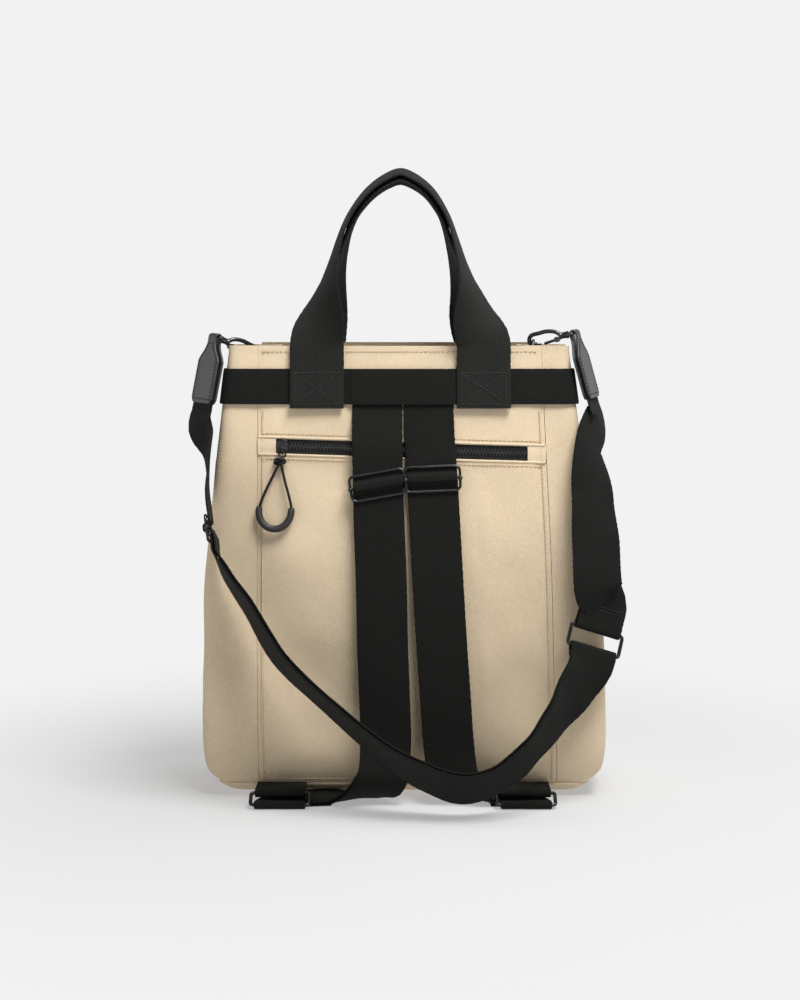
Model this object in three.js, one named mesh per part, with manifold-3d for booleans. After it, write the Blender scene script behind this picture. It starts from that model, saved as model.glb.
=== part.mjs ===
// Convertible backpack: a canvas tote with two webbing handles, two shoulder straps and a crossbody strap.
// Millimetres, +Z up. The origin is the middle of the base on the ground, and the strap side faces -Y.
import * as THREE from "three";
import { mergeVertices } from "three/addons/utils/BufferGeometryUtils.js";
import Module from "manifold-3d";

const wasm = await Module();
wasm.setup();

// Driving dimensions of the body
const bodyHalfWidth = 162;
const bodyHalfDepth = 61;
const rimHeight = 362;
const seamHeight = 10; // the bottom seam stands this far above the ground
const canvas = 2; // wall of the canvas
const gap = 0.3; // between pieces that touch
const baseInset = 25; // the flat of the base starts this far inside the bottom seam

// Pocket zip in the back panel
const zipDrop = 82; // from the rim down to the middle of the zip
const zipHeight = rimHeight - zipDrop;
const zipSlot = 14;
const zipTilt = -0.03; // rise of the slot for each millimetre to the right
const zipEndLength = 15;
const tapeThickness = 1.2;
const tapeSink = 0.8; // how far the tape lies behind the face of the panel
const teethHeight = 6;
const teethThickness = 1.3;
const zipSliderWidth = 10;
const zipSliderHeight = 11;
const zipSliderThickness = 3;
const cordRadius = 1.1;
const gripRadius = 2.8;
const gripBore = 1.5;
const knotRadius = 4.2;
const knotDeep = 0.8; // shares of the knot's radius
const knotFlat = 0.62;
const bridgeRadius = 2.6;
const bridgeWire = 0.8;
const pullRingWire = 0.7;
const pullRingDrop = 7;
const pullRingHalf = 2.6;

// Webbing and its hardware
const webbing = 40;
const webThickness = 1.6;
const handleWidth = 43;
const handleThickness = 2;
const bandHeight = 28;
const bandDrop = 32; // from the rim down to the middle of the band
const bandMiddle = rimHeight - bandDrop;
const bandRoom = 1; // between the body and the band
const handleSeat = 0.9; // between the band and the foot of a handle
const wire = 3; // wire of the rectangular rings
const ringInside = 14; // from bar to bar, clear
const lowerRingInside = 10;
const ringSideRoom = 1.6;
const sliderWire = 2.2;
const sliderHeight = 22;
const sliderRoom = 1; // between the strap's edge and the slider's side wire
const endHem = 18; // length of the end webbing's sewn return
const endStraight = 11; // the end webbing runs straight over this length before its ring
const layerPitch = 2.6; // between the two layers of a doubled strap
const dRingWire = 2.5;
const dRingWidth = 17;
const dRingRise = 14;
const dRingTabWidth = 10;
const dRingTabThickness = 1.4;
const dRingDrop = 10; // the D-ring's bar lies this far under the rim
const hookWire = 3.4;
const hookEyeWire = 2.4;
const hookReach = 34.5; // from the leather tab's bar to the D-ring's wire
const leather = 1.8;
const tabWidth = 42;
const tabNeck = 15;
const tabLength = 54;

const colours = {
  canvas: [0xcbb694, 0.9, 0],
  webbing: [0x1b1c1b, 0.85, 0],
  leather: [0x1d1c1b, 0.55, 0],
  metal: [0x2b2c2e, 0.35, 0.9],
  rubber: [0x191919, 0.6, 0],
};

// The body at shares of the height from bottom seam to rim. Width, right seam, fold and lean are shares
// of the half width; depth and crown are shares of the half depth.
const bodySections = [
  { up: 0.0, width: 0.913, depth: 0.8, fold: 0.0, crown: 0.0, lean: 0.004, seamRight: 0.766 },
  { up: 0.03, width: 0.98, depth: 0.9, fold: -0.01, crown: 0.01, lean: 0.008, seamRight: 0.764 },
  { up: 0.085, width: 1.0, depth: 0.98, fold: -0.015, crown: 0.04, lean: 0.01, seamRight: 0.76 },
  { up: 0.17, width: 1.0, depth: 1.0, fold: -0.015, crown: 0.06, lean: 0.008, seamRight: 0.75 },
  { up: 0.31, width: 0.99, depth: 0.98, fold: -0.005, crown: 0.08, lean: 0.004, seamRight: 0.74 },
  { up: 0.45, width: 0.98, depth: 0.92, fold: 0.012, crown: 0.09, lean: 0.0, seamRight: 0.733 },
  { up: 0.56, width: 0.955, depth: 0.85, fold: 0.04, crown: 0.08, lean: -0.005, seamRight: 0.725 },
  { up: 0.66, width: 0.93, depth: 0.76, fold: 0.09, crown: 0.06, lean: -0.01, seamRight: 0.715 },
  { up: 0.76, width: 0.905, depth: 0.66, fold: 0.145, crown: 0.045, lean: -0.014, seamRight: 0.705 },
  { up: 0.87, width: 0.875, depth: 0.53, fold: 0.2, crown: 0.03, lean: -0.018, seamRight: 0.695 },
  { up: 1.0, width: 0.84, depth: 0.36, fold: 0.24, crown: 0.01, lean: -0.02, seamRight: 0.685 },
];
const seamLeft = 0.716; // of the half width

// Soft dents and swells of the back panel. Across and wide are shares of the half width,
// up and tall of the rim height, deep of the half depth.
const backDents = [
  { across: -0.66, up: 0.41, wide: 0.1, tall: 0.1, deep: 0.04 },
  { across: 0.62, up: 0.27, wide: 0.14, tall: 0.07, deep: 0.05 },
  { across: -0.4, up: 0.16, wide: 0.16, tall: 0.1, deep: 0.035 },
  { across: 0.5, up: 0.62, wide: 0.12, tall: 0.12, deep: 0.03 },
  { across: -0.5, up: 0.66, wide: 0.18, tall: 0.06, deep: -0.03 },
];

// The rounding from the bottom seam down to the flat of the base: shares of the inset and of the seam's height
const baseSections = [
  { inset: 0.0, up: 0.97 },
  { inset: 0.14, up: 0.62 },
  { inset: 0.45, up: 0.26 },
  { inset: 1.0, up: 0.0 },
];

// Handle legs from the band to the crown: shares of the handle's half span, of its rise above the band's
// lower edge and of the rim's half depth; twist in degrees; cup as a share of the handle's width.
const handleHalfSpan = 66;
const handleRise = 190;
const handleSections = [
  { left: 1.04, right: 0.975, up: 0.27, out: 1.22, twist: 2, cup: 0.02 },
  { left: 1.03, right: 0.935, up: 0.32, out: 1.16, twist: 14, cup: 0.03 },
  { left: 1.0, right: 0.89, up: 0.38, out: 1.06, twist: 34, cup: 0.03 },
  { left: 0.96, right: 0.85, up: 0.46, out: 0.94, twist: 58, cup: 0.035 },
  { left: 0.92, right: 0.8, up: 0.54, out: 0.84, twist: 74, cup: 0.04 },
  { left: 0.86, right: 0.73, up: 0.63, out: 0.7, twist: 82, cup: 0.04 },
  { left: 0.78, right: 0.65, up: 0.72, out: 0.47, twist: 87, cup: 0.045 },
  { left: 0.65, right: 0.54, up: 0.82, out: 0.18, twist: 89, cup: 0.065 },
  { left: 0.44, right: 0.36, up: 0.91, out: 0.05, twist: 90, cup: 0.1 },
  { left: 0.2, right: 0.14, up: 0.97, out: 0.01, twist: 90, cup: 0.12 },
];
const handleNest = 5.6; // the front handle's crown lies this far inside the back one's

// Shoulder straps below the band. They hang side by side: across is how far a strap's inner edge stands from
// the middle, in shares of the half width. Away from the panel is in shares of the half depth, up in shares of
// the rim height. Tip is how far the strap faces down, in degrees.
const shoulderSections = {
  left: [
    { across: -0.0025, away: 0.02, up: 0.912, tip: 0 },
    { across: -0.0025, away: 0.022, up: 0.86, tip: 0 },
    { across: -0.0025, away: 0.09, up: 0.825, tip: 0 },
    { across: -0.002, away: 0.15, up: 0.785, tip: 0 },
    { across: -0, away: 0.15, up: 0.735, tip: 0 },
    { across: 0.0045, away: 0.15, up: 0.65, tip: 0 },
    { across: 0.0185, away: 0.15, up: 0.48, tip: 0 },
    { across: 0.0235, away: 0.16, up: 0.36, tip: 0 },
    { across: 0.0335, away: 0.19, up: 0.24, tip: 0 },
    { across: 0.0385, away: 0.27, up: 0.13, tip: 2 },
    { across: 0.0185, away: 0.36, up: 0.06, tip: 25 },
    { across: -0.0665, away: 0.22, up: 0.022, tip: 70 },
    { across: -0.1365, away: 0.1, up: 0.0075, tip: 84 },
    { across: -0.2065, away: 0.02, up: 0, tip: 90 },
  ],
  right: [
    { across: 0.0015, away: 0.02, up: 0.912, tip: 0 },
    { across: 0.0025, away: 0.022, up: 0.86, tip: 0 },
    { across: 0.0075, away: 0.05, up: 0.795, tip: 0 },
    { across: 0.0145, away: 0.08, up: 0.75, tip: 0 },
    { across: 0.0265, away: 0.11, up: 0.66, tip: 0 },
    { across: 0.0485, away: 0.15, up: 0.48, tip: 0 },
    { across: 0.0645, away: 0.16, up: 0.36, tip: 0 },
    { across: 0.0835, away: 0.19, up: 0.24, tip: 0 },
    { across: 0.1015, away: 0.26, up: 0.13, tip: 2 },
    { across: 0.1265, away: 0.34, up: 0.06, tip: 25 },
    { across: 0.1865, away: 0.2, up: 0.022, tip: 70 },
    { across: 0.2315, away: 0.1, up: 0.0075, tip: 84 },
    { across: 0.2865, away: 0.02, up: 0, tip: 90 },
  ],
};
const shoulderSliders = { left: { up: 0.7, tilt: 9 }, right: { up: 0.712, tilt: -1 } };
const lowerRingAcross = 0.6; // of the half width
const lowerRingOut = 1.47; // of the half depth
const floorTurnOut = 1.03; // the straps' run along the ground, before they turn to the rings
const floorTurnPinch = 3; // radius of the inner edge in that turn
const lowerRingLean = 31; // degrees back from the ground

// Crossbody strap from the left tab to the ring: across, out and up are shares of the half width,
// half depth and rim height. The strap's face turns from the front to the right, and tips down, in degrees.
const crossbodySections = [
  { across: -0.962, out: 0.5, up: 0.785, turn: -72, tip: 0 },
  { across: -0.95, out: 0.86, up: 0.73, turn: -82, tip: 0 },
  { across: -0.942, out: 1.13, up: 0.665, turn: -88, tip: 8 },
  { across: -0.934, out: 1.165, up: 0.637, turn: -88, tip: 8 },
  { across: -0.918, out: 1.233, up: 0.583, turn: -88, tip: 8 },
  { across: -0.91, out: 1.268, up: 0.555, turn: -88, tip: 8 },
  { across: -0.855, out: 1.35, up: 0.51, turn: -76, tip: 20 },
  { across: -0.755, out: 1.42, up: 0.445, turn: -66, tip: 34 },
  { across: -0.6, out: 1.58, up: 0.335, turn: -50, tip: 48 },
  { across: -0.34, out: 1.8, up: 0.23, turn: -30, tip: 60 },
  { across: -0.1, out: 1.95, up: 0.145, turn: -16, tip: 60 },
  { across: 0.115, out: 2.03, up: 0.09, turn: -6, tip: 50 },
  { across: 0.29, out: 2.06, up: 0.068, turn: 0, tip: 44 },
  { across: 0.47, out: 2.0, up: 0.09, turn: 4, tip: 50 },
  { across: 0.62, out: 1.88, up: 0.145, turn: 2, tip: 54 },
  { across: 0.735, out: 1.7, up: 0.205, turn: 2, tip: 48 },
  { across: 0.85, out: 1.47, up: 0.272, turn: 10, tip: 28 },
  { across: 0.912, out: 1.33, up: 0.313, turn: 16, tip: 12 },
  { across: 0.93, out: 1.27, up: 0.345, turn: 16, tip: 10 },
];
const crossbodySliderUp = 0.61;

// End webbing from the right tab down to the ring
const crossbodyEndSections = [
  { across: 0.92, out: 0.56, up: 0.785, turn: 50, tip: 0 },
  { across: 0.93, out: 0.84, up: 0.67, turn: 28, tip: 0 },
  { across: 0.94, out: 1.06, up: 0.575, turn: 16, tip: 0 },
  { across: 0.953, out: 1.2, up: 0.47, turn: 14, tip: 4 },
];

// The two ends of the crossbody strap, in degrees: lean of the D-ring from upright, slope of the hook and its
// turn to the front, and lean of the leather tab from the vertical
const hookPlaces = {
  left: { side: -1, ringLean: 72, hookSlope: 21, hookTurn: 27, tabLean: 12 },
  right: { side: 1, ringLean: 14, hookSlope: 10, hookTurn: 16, tabLean: 16 },
};
// The leather tab from its foot to its neck: shares of its length and width
const tabSections = [
  { down: 1, width: 0.76 },
  { down: 0.93, width: 1 },
  { down: 0.36, width: 1 },
  { down: 0.22, width: 0.6 },
  { down: 0.1, width: 0.36 },
];
const tabClose = 0.34; // the leather lies on the webbing from this share of the tab's length
const strapInTab = [0.42, 0.8, 1.12, 1.3]; // straight part of the webbing, in the same shares
// Centre line of the hook's wire, along the hook from the leather tab's bar and up from its axis
const hookShank = [
  { along: 11, up: 0 },
  { along: 15, up: 3.6 },
  { along: 22, up: 5.4 },
  { along: 29, up: 5 },
];
const bowlRoom = 1.4; // the middle of the bowl lies this far before the D-ring's wire
const bowlTurns = [60, 20, -20, -60, -100]; // degrees round the bowl
const hookTip = { before: 6.2, up: -4.9 };
const barrelSpan = [5, 12.5];
const barrelRadius = 3;
const eyeDepth = 6;
const eyeRoom = 1.8; // between the leather's neck and the eye's side wires
const gatePivot = [15, -2.4];
const gateTip = { before: 8.6, up: -4 };
const gateHubRadius = 1.9;
const gateRadius = 1.15;
const earRadius = 2.2;
const earRoot = [10, -0.6];
const gateHub = 1.5; // half length of the gate's hub
const earThickness = 1.4;

// Route of the zip pull's cord, from the knot round through the grip and back, chosen by hand:
// across and up from the knot, out from the panel.
const cordRoute = [
  { across: -1.2, up: -3.2, out: 3.6 },
  { across: -5.2, up: -11.4, out: 4.2 },
  { across: -10.4, up: -21.8, out: 4.6 },
  { across: -14.2, up: -30.8, out: 4.8 },
  { across: -16.2, up: -38.8, out: 4.9 },
  { across: -14.6, up: -46, out: 5 },
  { across: -9.4, up: -51.4, out: 5 },
  { across: -2.2, up: -52.6, out: 5 },
  { across: 4.6, up: -49.4, out: 5 },
  { across: 8.6, up: -43.4, out: 4.9 },
  { across: 9.6, up: -36.6, out: 4.8 },
  { across: 7.8, up: -27.5, out: 4.7 },
  { across: 4.6, up: -16.1, out: 4.4 },
  { across: 1.6, up: -3.6, out: 3.6 },
];
const gripStart = 0.3; // shares of the cord's length that the grip covers
const gripEnd = 0.71;

const vector = (x, y, z) => new THREE.Vector3(x, y, z);
const radians = THREE.MathUtils.degToRad;
const steps = (count) => Array.from({ length: count + 1 }, (_, i) => i / count);

// Smooth value of one column of a table at a share of the height
function column(rows, name, share, key = "up") {
  const last = rows.length - 1;
  const at = Math.min(Math.max(share, rows[0][key]), rows[last][key]);
  const i = Math.min(rows.findLastIndex((row) => row[key] <= at), last - 1);
  const span = rows[i + 1][key] - rows[i][key];
  const t = (at - rows[i][key]) / span;
  const slope = (k) => {
    const a = rows[Math.max(k - 1, 0)];
    const b = rows[Math.min(k + 1, last)];
    return (b[name] - a[name]) / (b[key] - a[key]);
  };
  const bend = (a, b, ta, tb) =>
    a * (2 * t ** 3 - 3 * t ** 2 + 1) + b * (3 * t ** 2 - 2 * t ** 3) +
    ta * span * (t ** 3 - 2 * t ** 2 + t) + tb * span * (t ** 3 - t ** 2);
  return bend(rows[i][name], rows[i + 1][name], slope(i), slope(i + 1));
}

const heightShare = (z) => (z - seamHeight) / (rimHeight - seamHeight);
const heightAt = (share) => seamHeight + share * (rimHeight - seamHeight);

function bodyAt(z) {
  const value = (name, size) => size * column(bodySections, name, heightShare(z));
  return {
    width: value("width", bodyHalfWidth),
    depth: value("depth", bodyHalfDepth),
    fold: value("fold", bodyHalfWidth),
    crown: value("crown", bodyHalfDepth),
    lean: value("lean", bodyHalfWidth),
    seamLeft: -seamLeft * bodyHalfWidth,
    seamRight: value("seamRight", bodyHalfWidth),
  };
}

// Where the outer face of the back panel lies, as a positive distance out from the middle of the bag
function backFace(x, z) {
  const body = bodyAt(z);
  const middle = (body.seamLeft + body.seamRight) / 2;
  const across = Math.min(Math.abs((x - middle) / (body.seamRight - middle)), 1);
  let face = body.depth + body.crown * (1 - across ** 2);
  const edge = (1 - across ** 4) * Math.min(1, (1 - heightShare(z)) * 6);
  for (const dent of backDents) {
    const away = ((x / bodyHalfWidth - dent.across) / dent.wide) ** 2 + ((z / rimHeight - dent.up) / dent.tall) ** 2;
    face -= edge * dent.deep * bodyHalfDepth * Math.exp(-away);
  }
  return face;
}

const frontFace = (x, z) => {
  const body = bodyAt(z);
  const middle = (body.seamLeft + body.seamRight) / 2;
  const across = Math.min(Math.abs((x - middle) / (body.seamRight - middle)), 1);
  return body.depth + body.crown * (1 - across ** 2);
};

// A closed wall between two grids of points with the same rows. Either way round it may be a loop.
function wall(outer, inner, loopAlong = false, loopAcross = false) {
  const along = outer.length;
  const across = outer[0].length;
  const points = [...outer.flat(), ...inner.flat()];
  const index = (face, i, j) => face * along * across + (i % along) * across + (j % across);
  const faces = [];
  const quad = (a, b, c, d) => faces.push(a, b, c, a, c, d);
  const iCount = loopAlong ? along : along - 1;
  const jCount = loopAcross ? across : across - 1;
  for (let i = 0; i < iCount; i++) {
    for (let j = 0; j < jCount; j++) {
      quad(index(0, i, j), index(0, i, j + 1), index(0, i + 1, j + 1), index(0, i + 1, j));
      quad(index(1, i, j), index(1, i + 1, j), index(1, i + 1, j + 1), index(1, i, j + 1));
    }
    if (!loopAcross) {
      quad(index(0, i, 0), index(0, i + 1, 0), index(1, i + 1, 0), index(1, i, 0));
      quad(index(0, i, jCount), index(1, i, jCount), index(1, i + 1, jCount), index(0, i + 1, jCount));
    }
  }
  if (!loopAlong) {
    for (let j = 0; j < jCount; j++) {
      quad(index(0, 0, j), index(1, 0, j), index(1, 0, j + 1), index(0, 0, j + 1));
      quad(index(0, iCount, j), index(0, iCount, j + 1), index(1, iCount, j + 1), index(1, iCount, j));
    }
  }
  return facingOut(points, faces);
}

// A geometry from points and triangles, turned over where its faces point in
function facingOut(points, faces) {
  let volume = 0;
  for (let i = 0; i < faces.length; i += 3) {
    const [a, b, c] = [points[faces[i]], points[faces[i + 1]], points[faces[i + 2]]];
    volume += a.dot(b.clone().cross(c));
  }
  const turned = volume < 0 ? faces.slice().reverse() : faces;
  const geometry = new THREE.BufferGeometry();
  geometry.setAttribute("position", new THREE.Float32BufferAttribute(points.flatMap((p) => [p.x, p.y, p.z]), 3));
  geometry.setIndex(turned);
  return geometry;
}

function solid(geometry) {
  const plain = geometry.clone();
  plain.deleteAttribute("normal");
  plain.deleteAttribute("uv");
  const merged = mergeVertices(plain, 1e-3);
  return new wasm.Manifold(
    new wasm.Mesh({
      numProp: 3,
      vertProperties: new Float32Array(merged.attributes.position.array),
      triVerts: new Uint32Array(merged.index.array),
    }),
  );
}

function geometryOf(body) {
  const mesh = body.getMesh();
  const geometry = new THREE.BufferGeometry();
  geometry.setAttribute("position", new THREE.Float32BufferAttribute(mesh.vertProperties, 3));
  geometry.setIndex(Array.from(mesh.triVerts));
  return geometry;
}

const joined = (...geometries) => geometryOf(geometries.map(solid).reduce((a, b) => a.add(b)));

// A round bar between two points
function bar(from, to, radius, sides = 8) {
  const length = from.distanceTo(to);
  const geometry = new THREE.CylinderGeometry(radius, radius, length, sides);
  const turn = new THREE.Quaternion().setFromUnitVectors(vector(0, 1, 0), to.clone().sub(from).normalize());
  geometry.applyQuaternion(turn);
  const middle = from.clone().add(to).multiplyScalar(0.5);
  return geometry.translate(middle.x, middle.y, middle.z);
}

// A closed wire loop through corner points, with rounded corners
function wireLoop(corners, radius, rounding, sides = 6, cornerSteps = 3) {
  const count = corners.length;
  const points = corners.flatMap((corner, i) => {
    const toward = (other) => corner.clone().add(other.clone().sub(corner).setLength(rounding));
    const bend = new THREE.QuadraticBezierCurve3(
      toward(corners[(i + count - 1) % count]), corner, toward(corners[(i + 1) % count]));
    return bend.getPoints(cornerSteps);
  });
  const edge = (i) => points[(i + 1) % points.length].clone().sub(points[(i + points.length - 1) % points.length]);
  const normal = corners[1].clone().sub(corners[0]).cross(corners[2].clone().sub(corners[1])).normalize();
  const rows = points.map((point, i) => {
    const sideways = edge(i).normalize().cross(normal);
    return steps(sides).slice(0, sides).map((share) => {
      const angle = share * 2 * Math.PI;
      return point.clone()
        .addScaledVector(sideways, radius * Math.cos(angle))
        .addScaledVector(normal, radius * Math.sin(angle));
    });
  });
  return tubeOf(rows, true);
}

// A solid tube through rows of section points: a loop, or closed by a flat end at each side
function tubeOf(rows, loop) {
  const sides = rows[0].length;
  const points = rows.flat();
  const faces = [];
  const index = (i, j) => (i % rows.length) * sides + (j % sides);
  const last = loop ? rows.length : rows.length - 1;
  for (let i = 0; i < last; i++) {
    for (let j = 0; j < sides; j++) {
      faces.push(index(i, j), index(i, j + 1), index(i + 1, j + 1));
      faces.push(index(i, j), index(i + 1, j + 1), index(i + 1, j));
    }
  }
  if (!loop) {
    for (let j = 1; j < sides - 1; j++) {
      faces.push(index(0, 0), index(0, j + 1), index(0, j));
      faces.push(index(last, 0), index(last, j), index(last, j + 1));
    }
  }
  return facingOut(points, faces);
}

// A round tube along a curve, as an extrusion of a many-sided section
function extrudedTube(curve, radius, sides, stepCount) {
  const section = new THREE.Shape(
    steps(sides).slice(0, sides).map((share) =>
      new THREE.Vector2(radius * Math.cos(share * 2 * Math.PI), radius * Math.sin(share * 2 * Math.PI))));
  return new THREE.ExtrudeGeometry(section, { steps: stepCount, extrudePath: curve, bevelEnabled: false });
}

// A strip of cloth: stations hold the middle point, the direction across and the direction that it faces
function strip(stations, width, thickness, acrossSteps = 1) {
  const face = (sign) => stations.map((station) =>
    steps(acrossSteps).map((share) => {
      const side = 2 * share - 1;
      return station.point.clone()
        .addScaledVector(station.across, (side * (station.width ?? width)) / 2)
        .addScaledVector(station.facing, (sign * thickness) / 2 - (station.cup ?? 0) * side ** 2);
    }));
  return wall(face(1), face(-1));
}

// Where a strap faces: straight to the front, turned to the right and tipped down, in degrees
function facingFrom(turn, tip) {
  const flat = Math.cos(radians(tip));
  return vector(Math.sin(radians(turn)) * flat, -Math.cos(radians(turn)) * flat, -Math.sin(radians(tip)));
}

function stationAt(point, tangent, toward) {
  const facing = toward.clone().addScaledVector(tangent, -toward.dot(tangent)).normalize();
  return { point, tangent, facing, across: tangent.clone().cross(facing) };
}

// A smooth route through rows that hold a point and the direction that the strap faces there
function route(rows) {
  const curve = new THREE.CatmullRomCurve3(rows.map((row) => row.point), false, "centripetal");
  curve.arcLengthDivisions = 400;
  const length = curve.getLength();
  const at = (distance) => {
    const t = curve.getUtoTmapping(Math.min(Math.max(distance / length, 0), 1));
    const i = Math.min(Math.floor(t * (rows.length - 1)), rows.length - 2);
    const part = t * (rows.length - 1) - i;
    const eased = part * part * (3 - 2 * part);
    return stationAt(curve.getPoint(t), curve.getTangent(t), rows[i].facing.clone().lerp(rows[i + 1].facing, eased));
  };
  const distanceAtHeight = (z) => {
    let distance = 0;
    while (at(distance).point.z > z && distance < length) distance += 0.5;
    return distance;
  };
  return { at, length, distanceAtHeight };
}

// Distances along a route, with the steps of the weave through a slider at its place
function distances(length, wide, place) {
  const near = sliderSteps.flatMap((away) => (away ? [place - away, place + away] : [place]));
  const reach = Math.max(...sliderSteps);
  const spaced = (from, to) => {
    const count = Math.max(Math.round((to - from) / wide), 1);
    return steps(count).map((share) => from + (to - from) * share);
  };
  const above = spaced(0, place - reach).slice(0, -1);
  const below = spaced(place + reach, length).slice(1);
  return [...above, ...near.sort((a, b) => a - b), ...below];
}

const shifted = (station, out) => ({ ...station, point: station.point.clone().addScaledVector(station.facing, out) });

// How far a strap that runs over a slider's middle bar bulges, and where its wires lie in front of it
const sliderPlane = (webThickness + sliderWire) / 2 + 1.4 * gap;
const sliderBulge = 2 * sliderPlane;
const sliderHalf = (sliderHeight - sliderWire) / 2;
const bulgeTop = 1.5; // the strap lies flat this far each way over the middle bar
const bulgeHalf = sliderHalf - 3;
const sliderSteps = [0, bulgeTop, 3.2, 5, bulgeHalf, sliderHalf + 2];
const skewEase = 26;
const barRoom = (wire + webThickness) / 2 + gap; // from a ring's bar to the middle of a strap round it

// A doubled strap: down over a slider to a ring's bar, round the bar and back up to the slider's middle bar
function doubledStrap(path, sliderPlace, tilt, wide) {
  const over = (distance) => {
    const away = Math.abs(distance - sliderPlace);
    return sliderBulge * (1 - THREE.MathUtils.smoothstep(away, bulgeTop, bulgeHalf));
  };
  const spread = (distance) => {
    const toRing = Math.min((path.length - distance) / 16, 1);
    return layerPitch + (2 * barRoom - layerPitch) * (1 - toRing) ** 2;
  };
  // The weave is drawn askew by as much as the slider is tilted
  const skewed = (distance) => {
    const station = path.at(distance);
    const past = Math.max(Math.abs(distance - sliderPlace) - sliderHalf - 2, 0) / skewEase;
    const skew = radians(tilt) * Math.max(1 - past, 0);
    return { ...station, across: station.across.clone().applyAxisAngle(station.facing, skew) };
  };
  const down = distances(path.length, wide, sliderPlace);
  const front = down.map((distance) => shifted(skewed(distance), over(distance)));
  const end = path.at(path.length);
  const centre = end.point.clone().addScaledVector(end.facing, -barRoom);
  const turn = [30, 60, 90, 120, 150].map((degrees) => {
    const facing = end.facing.clone().multiplyScalar(Math.cos(radians(degrees)))
      .addScaledVector(end.tangent, Math.sin(radians(degrees)));
    return { point: centre.clone().addScaledVector(facing, barRoom), across: end.across, facing };
  });
  const rejoin = (distance) => Math.max(0, 1 - (distance - sliderPlace) / bulgeHalf);
  const up = down.filter((distance) => distance > sliderPlace - bulgeTop / 2).reverse().map((distance) => {
    const station = skewed(distance);
    const behind = spread(distance) * (1 - rejoin(distance));
    const back = shifted(station, -behind);
    back.facing = station.facing.clone().negate();
    return back;
  });
  return { stations: [...front, ...turn, ...up], centre, end };
}

// A ladder slider: a wire loop with a middle bar that has a knob at each end
function ladderSlider(station, tilt = 0) {
  const turn = new THREE.Quaternion().setFromAxisAngle(station.facing, radians(tilt));
  const along = station.tangent.clone().applyQuaternion(turn);
  const across = station.across.clone().applyQuaternion(turn);
  const middle = station.point.clone().addScaledVector(station.facing, sliderPlane);
  const half = webbing / 2 + sliderRoom + sliderWire / 2;
  const at = (a, b) => middle.clone().addScaledVector(across, a * half).addScaledVector(along, b * sliderHalf);
  const frame = wireLoop([at(-1, -1), at(1, -1), at(1, 1), at(-1, 1)], sliderWire / 2, 5, 6, 3);
  return joined(frame, bar(at(-1, 0), at(1, 0), sliderWire / 2, 6));
}

// A rectangular wire ring from a strap's bar to the bar across from it
function rectangularRing(centre, across, along, inside, halfWidth) {
  const rise = inside + wire;
  const at = (a, b) => centre.clone().addScaledVector(across, a * halfWidth).addScaledVector(along, b * rise);
  return wireLoop([at(-1, 0), at(1, 0), at(1, 1), at(-1, 1)], wire / 2, 2.6, 6, 2);
}

// The nodes
const group = new THREE.Group();
group.name = "convertible_backpack";

function add(name, geometry, look) {
  const [color, roughness, metalness] = colours[look];
  const mesh = new THREE.Mesh(geometry, new THREE.MeshStandardMaterial({ color, roughness, metalness }));
  mesh.name = name;
  group.add(mesh);
}

// A patch of wall that follows a face of the bag. Sink is how far behind the face it starts.
function panelPatch(face, side, left, right, low, high, columns, rows, sink = 0, thickness = canvas) {
  const grid = (depth) => steps(rows).map((v) =>
    steps(columns).map((u) => {
      const z = low(0) + (high(0) - low(0)) * v;
      const x = left(z) + (right(z) - left(z)) * u;
      const level = low(x) + (high(x) - low(x)) * v;
      return vector(x, side * (face(x, level) - depth), level);
    }));
  return wall(grid(sink), grid(sink + thickness));
}

const seamLeftAt = (z) => bodyAt(z).seamLeft + gap / 2;
const seamRightAt = (z) => bodyAt(z).seamRight - gap / 2;
const zipLine = (x, offset) => zipHeight + zipTilt * x + offset;
const rim = () => rimHeight;
const bottomSeam = () => seamHeight + gap;

function bodyPanels() {
  const slotLow = (x) => zipLine(x, -zipSlot / 2);
  const slotHigh = (x) => zipLine(x, zipSlot / 2);
  add("back_panel_lower", panelPatch(backFace, -1, seamLeftAt, seamRightAt, bottomSeam, slotLow, 12, 10), "canvas");
  add("back_panel_upper", panelPatch(backFace, -1, seamLeftAt, seamRightAt, slotHigh, rim, 10, 4), "canvas");
  add("front_panel", panelPatch(frontFace, 1, seamLeftAt, seamRightAt, bottomSeam, rim, 8, 7), "canvas");
}

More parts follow.
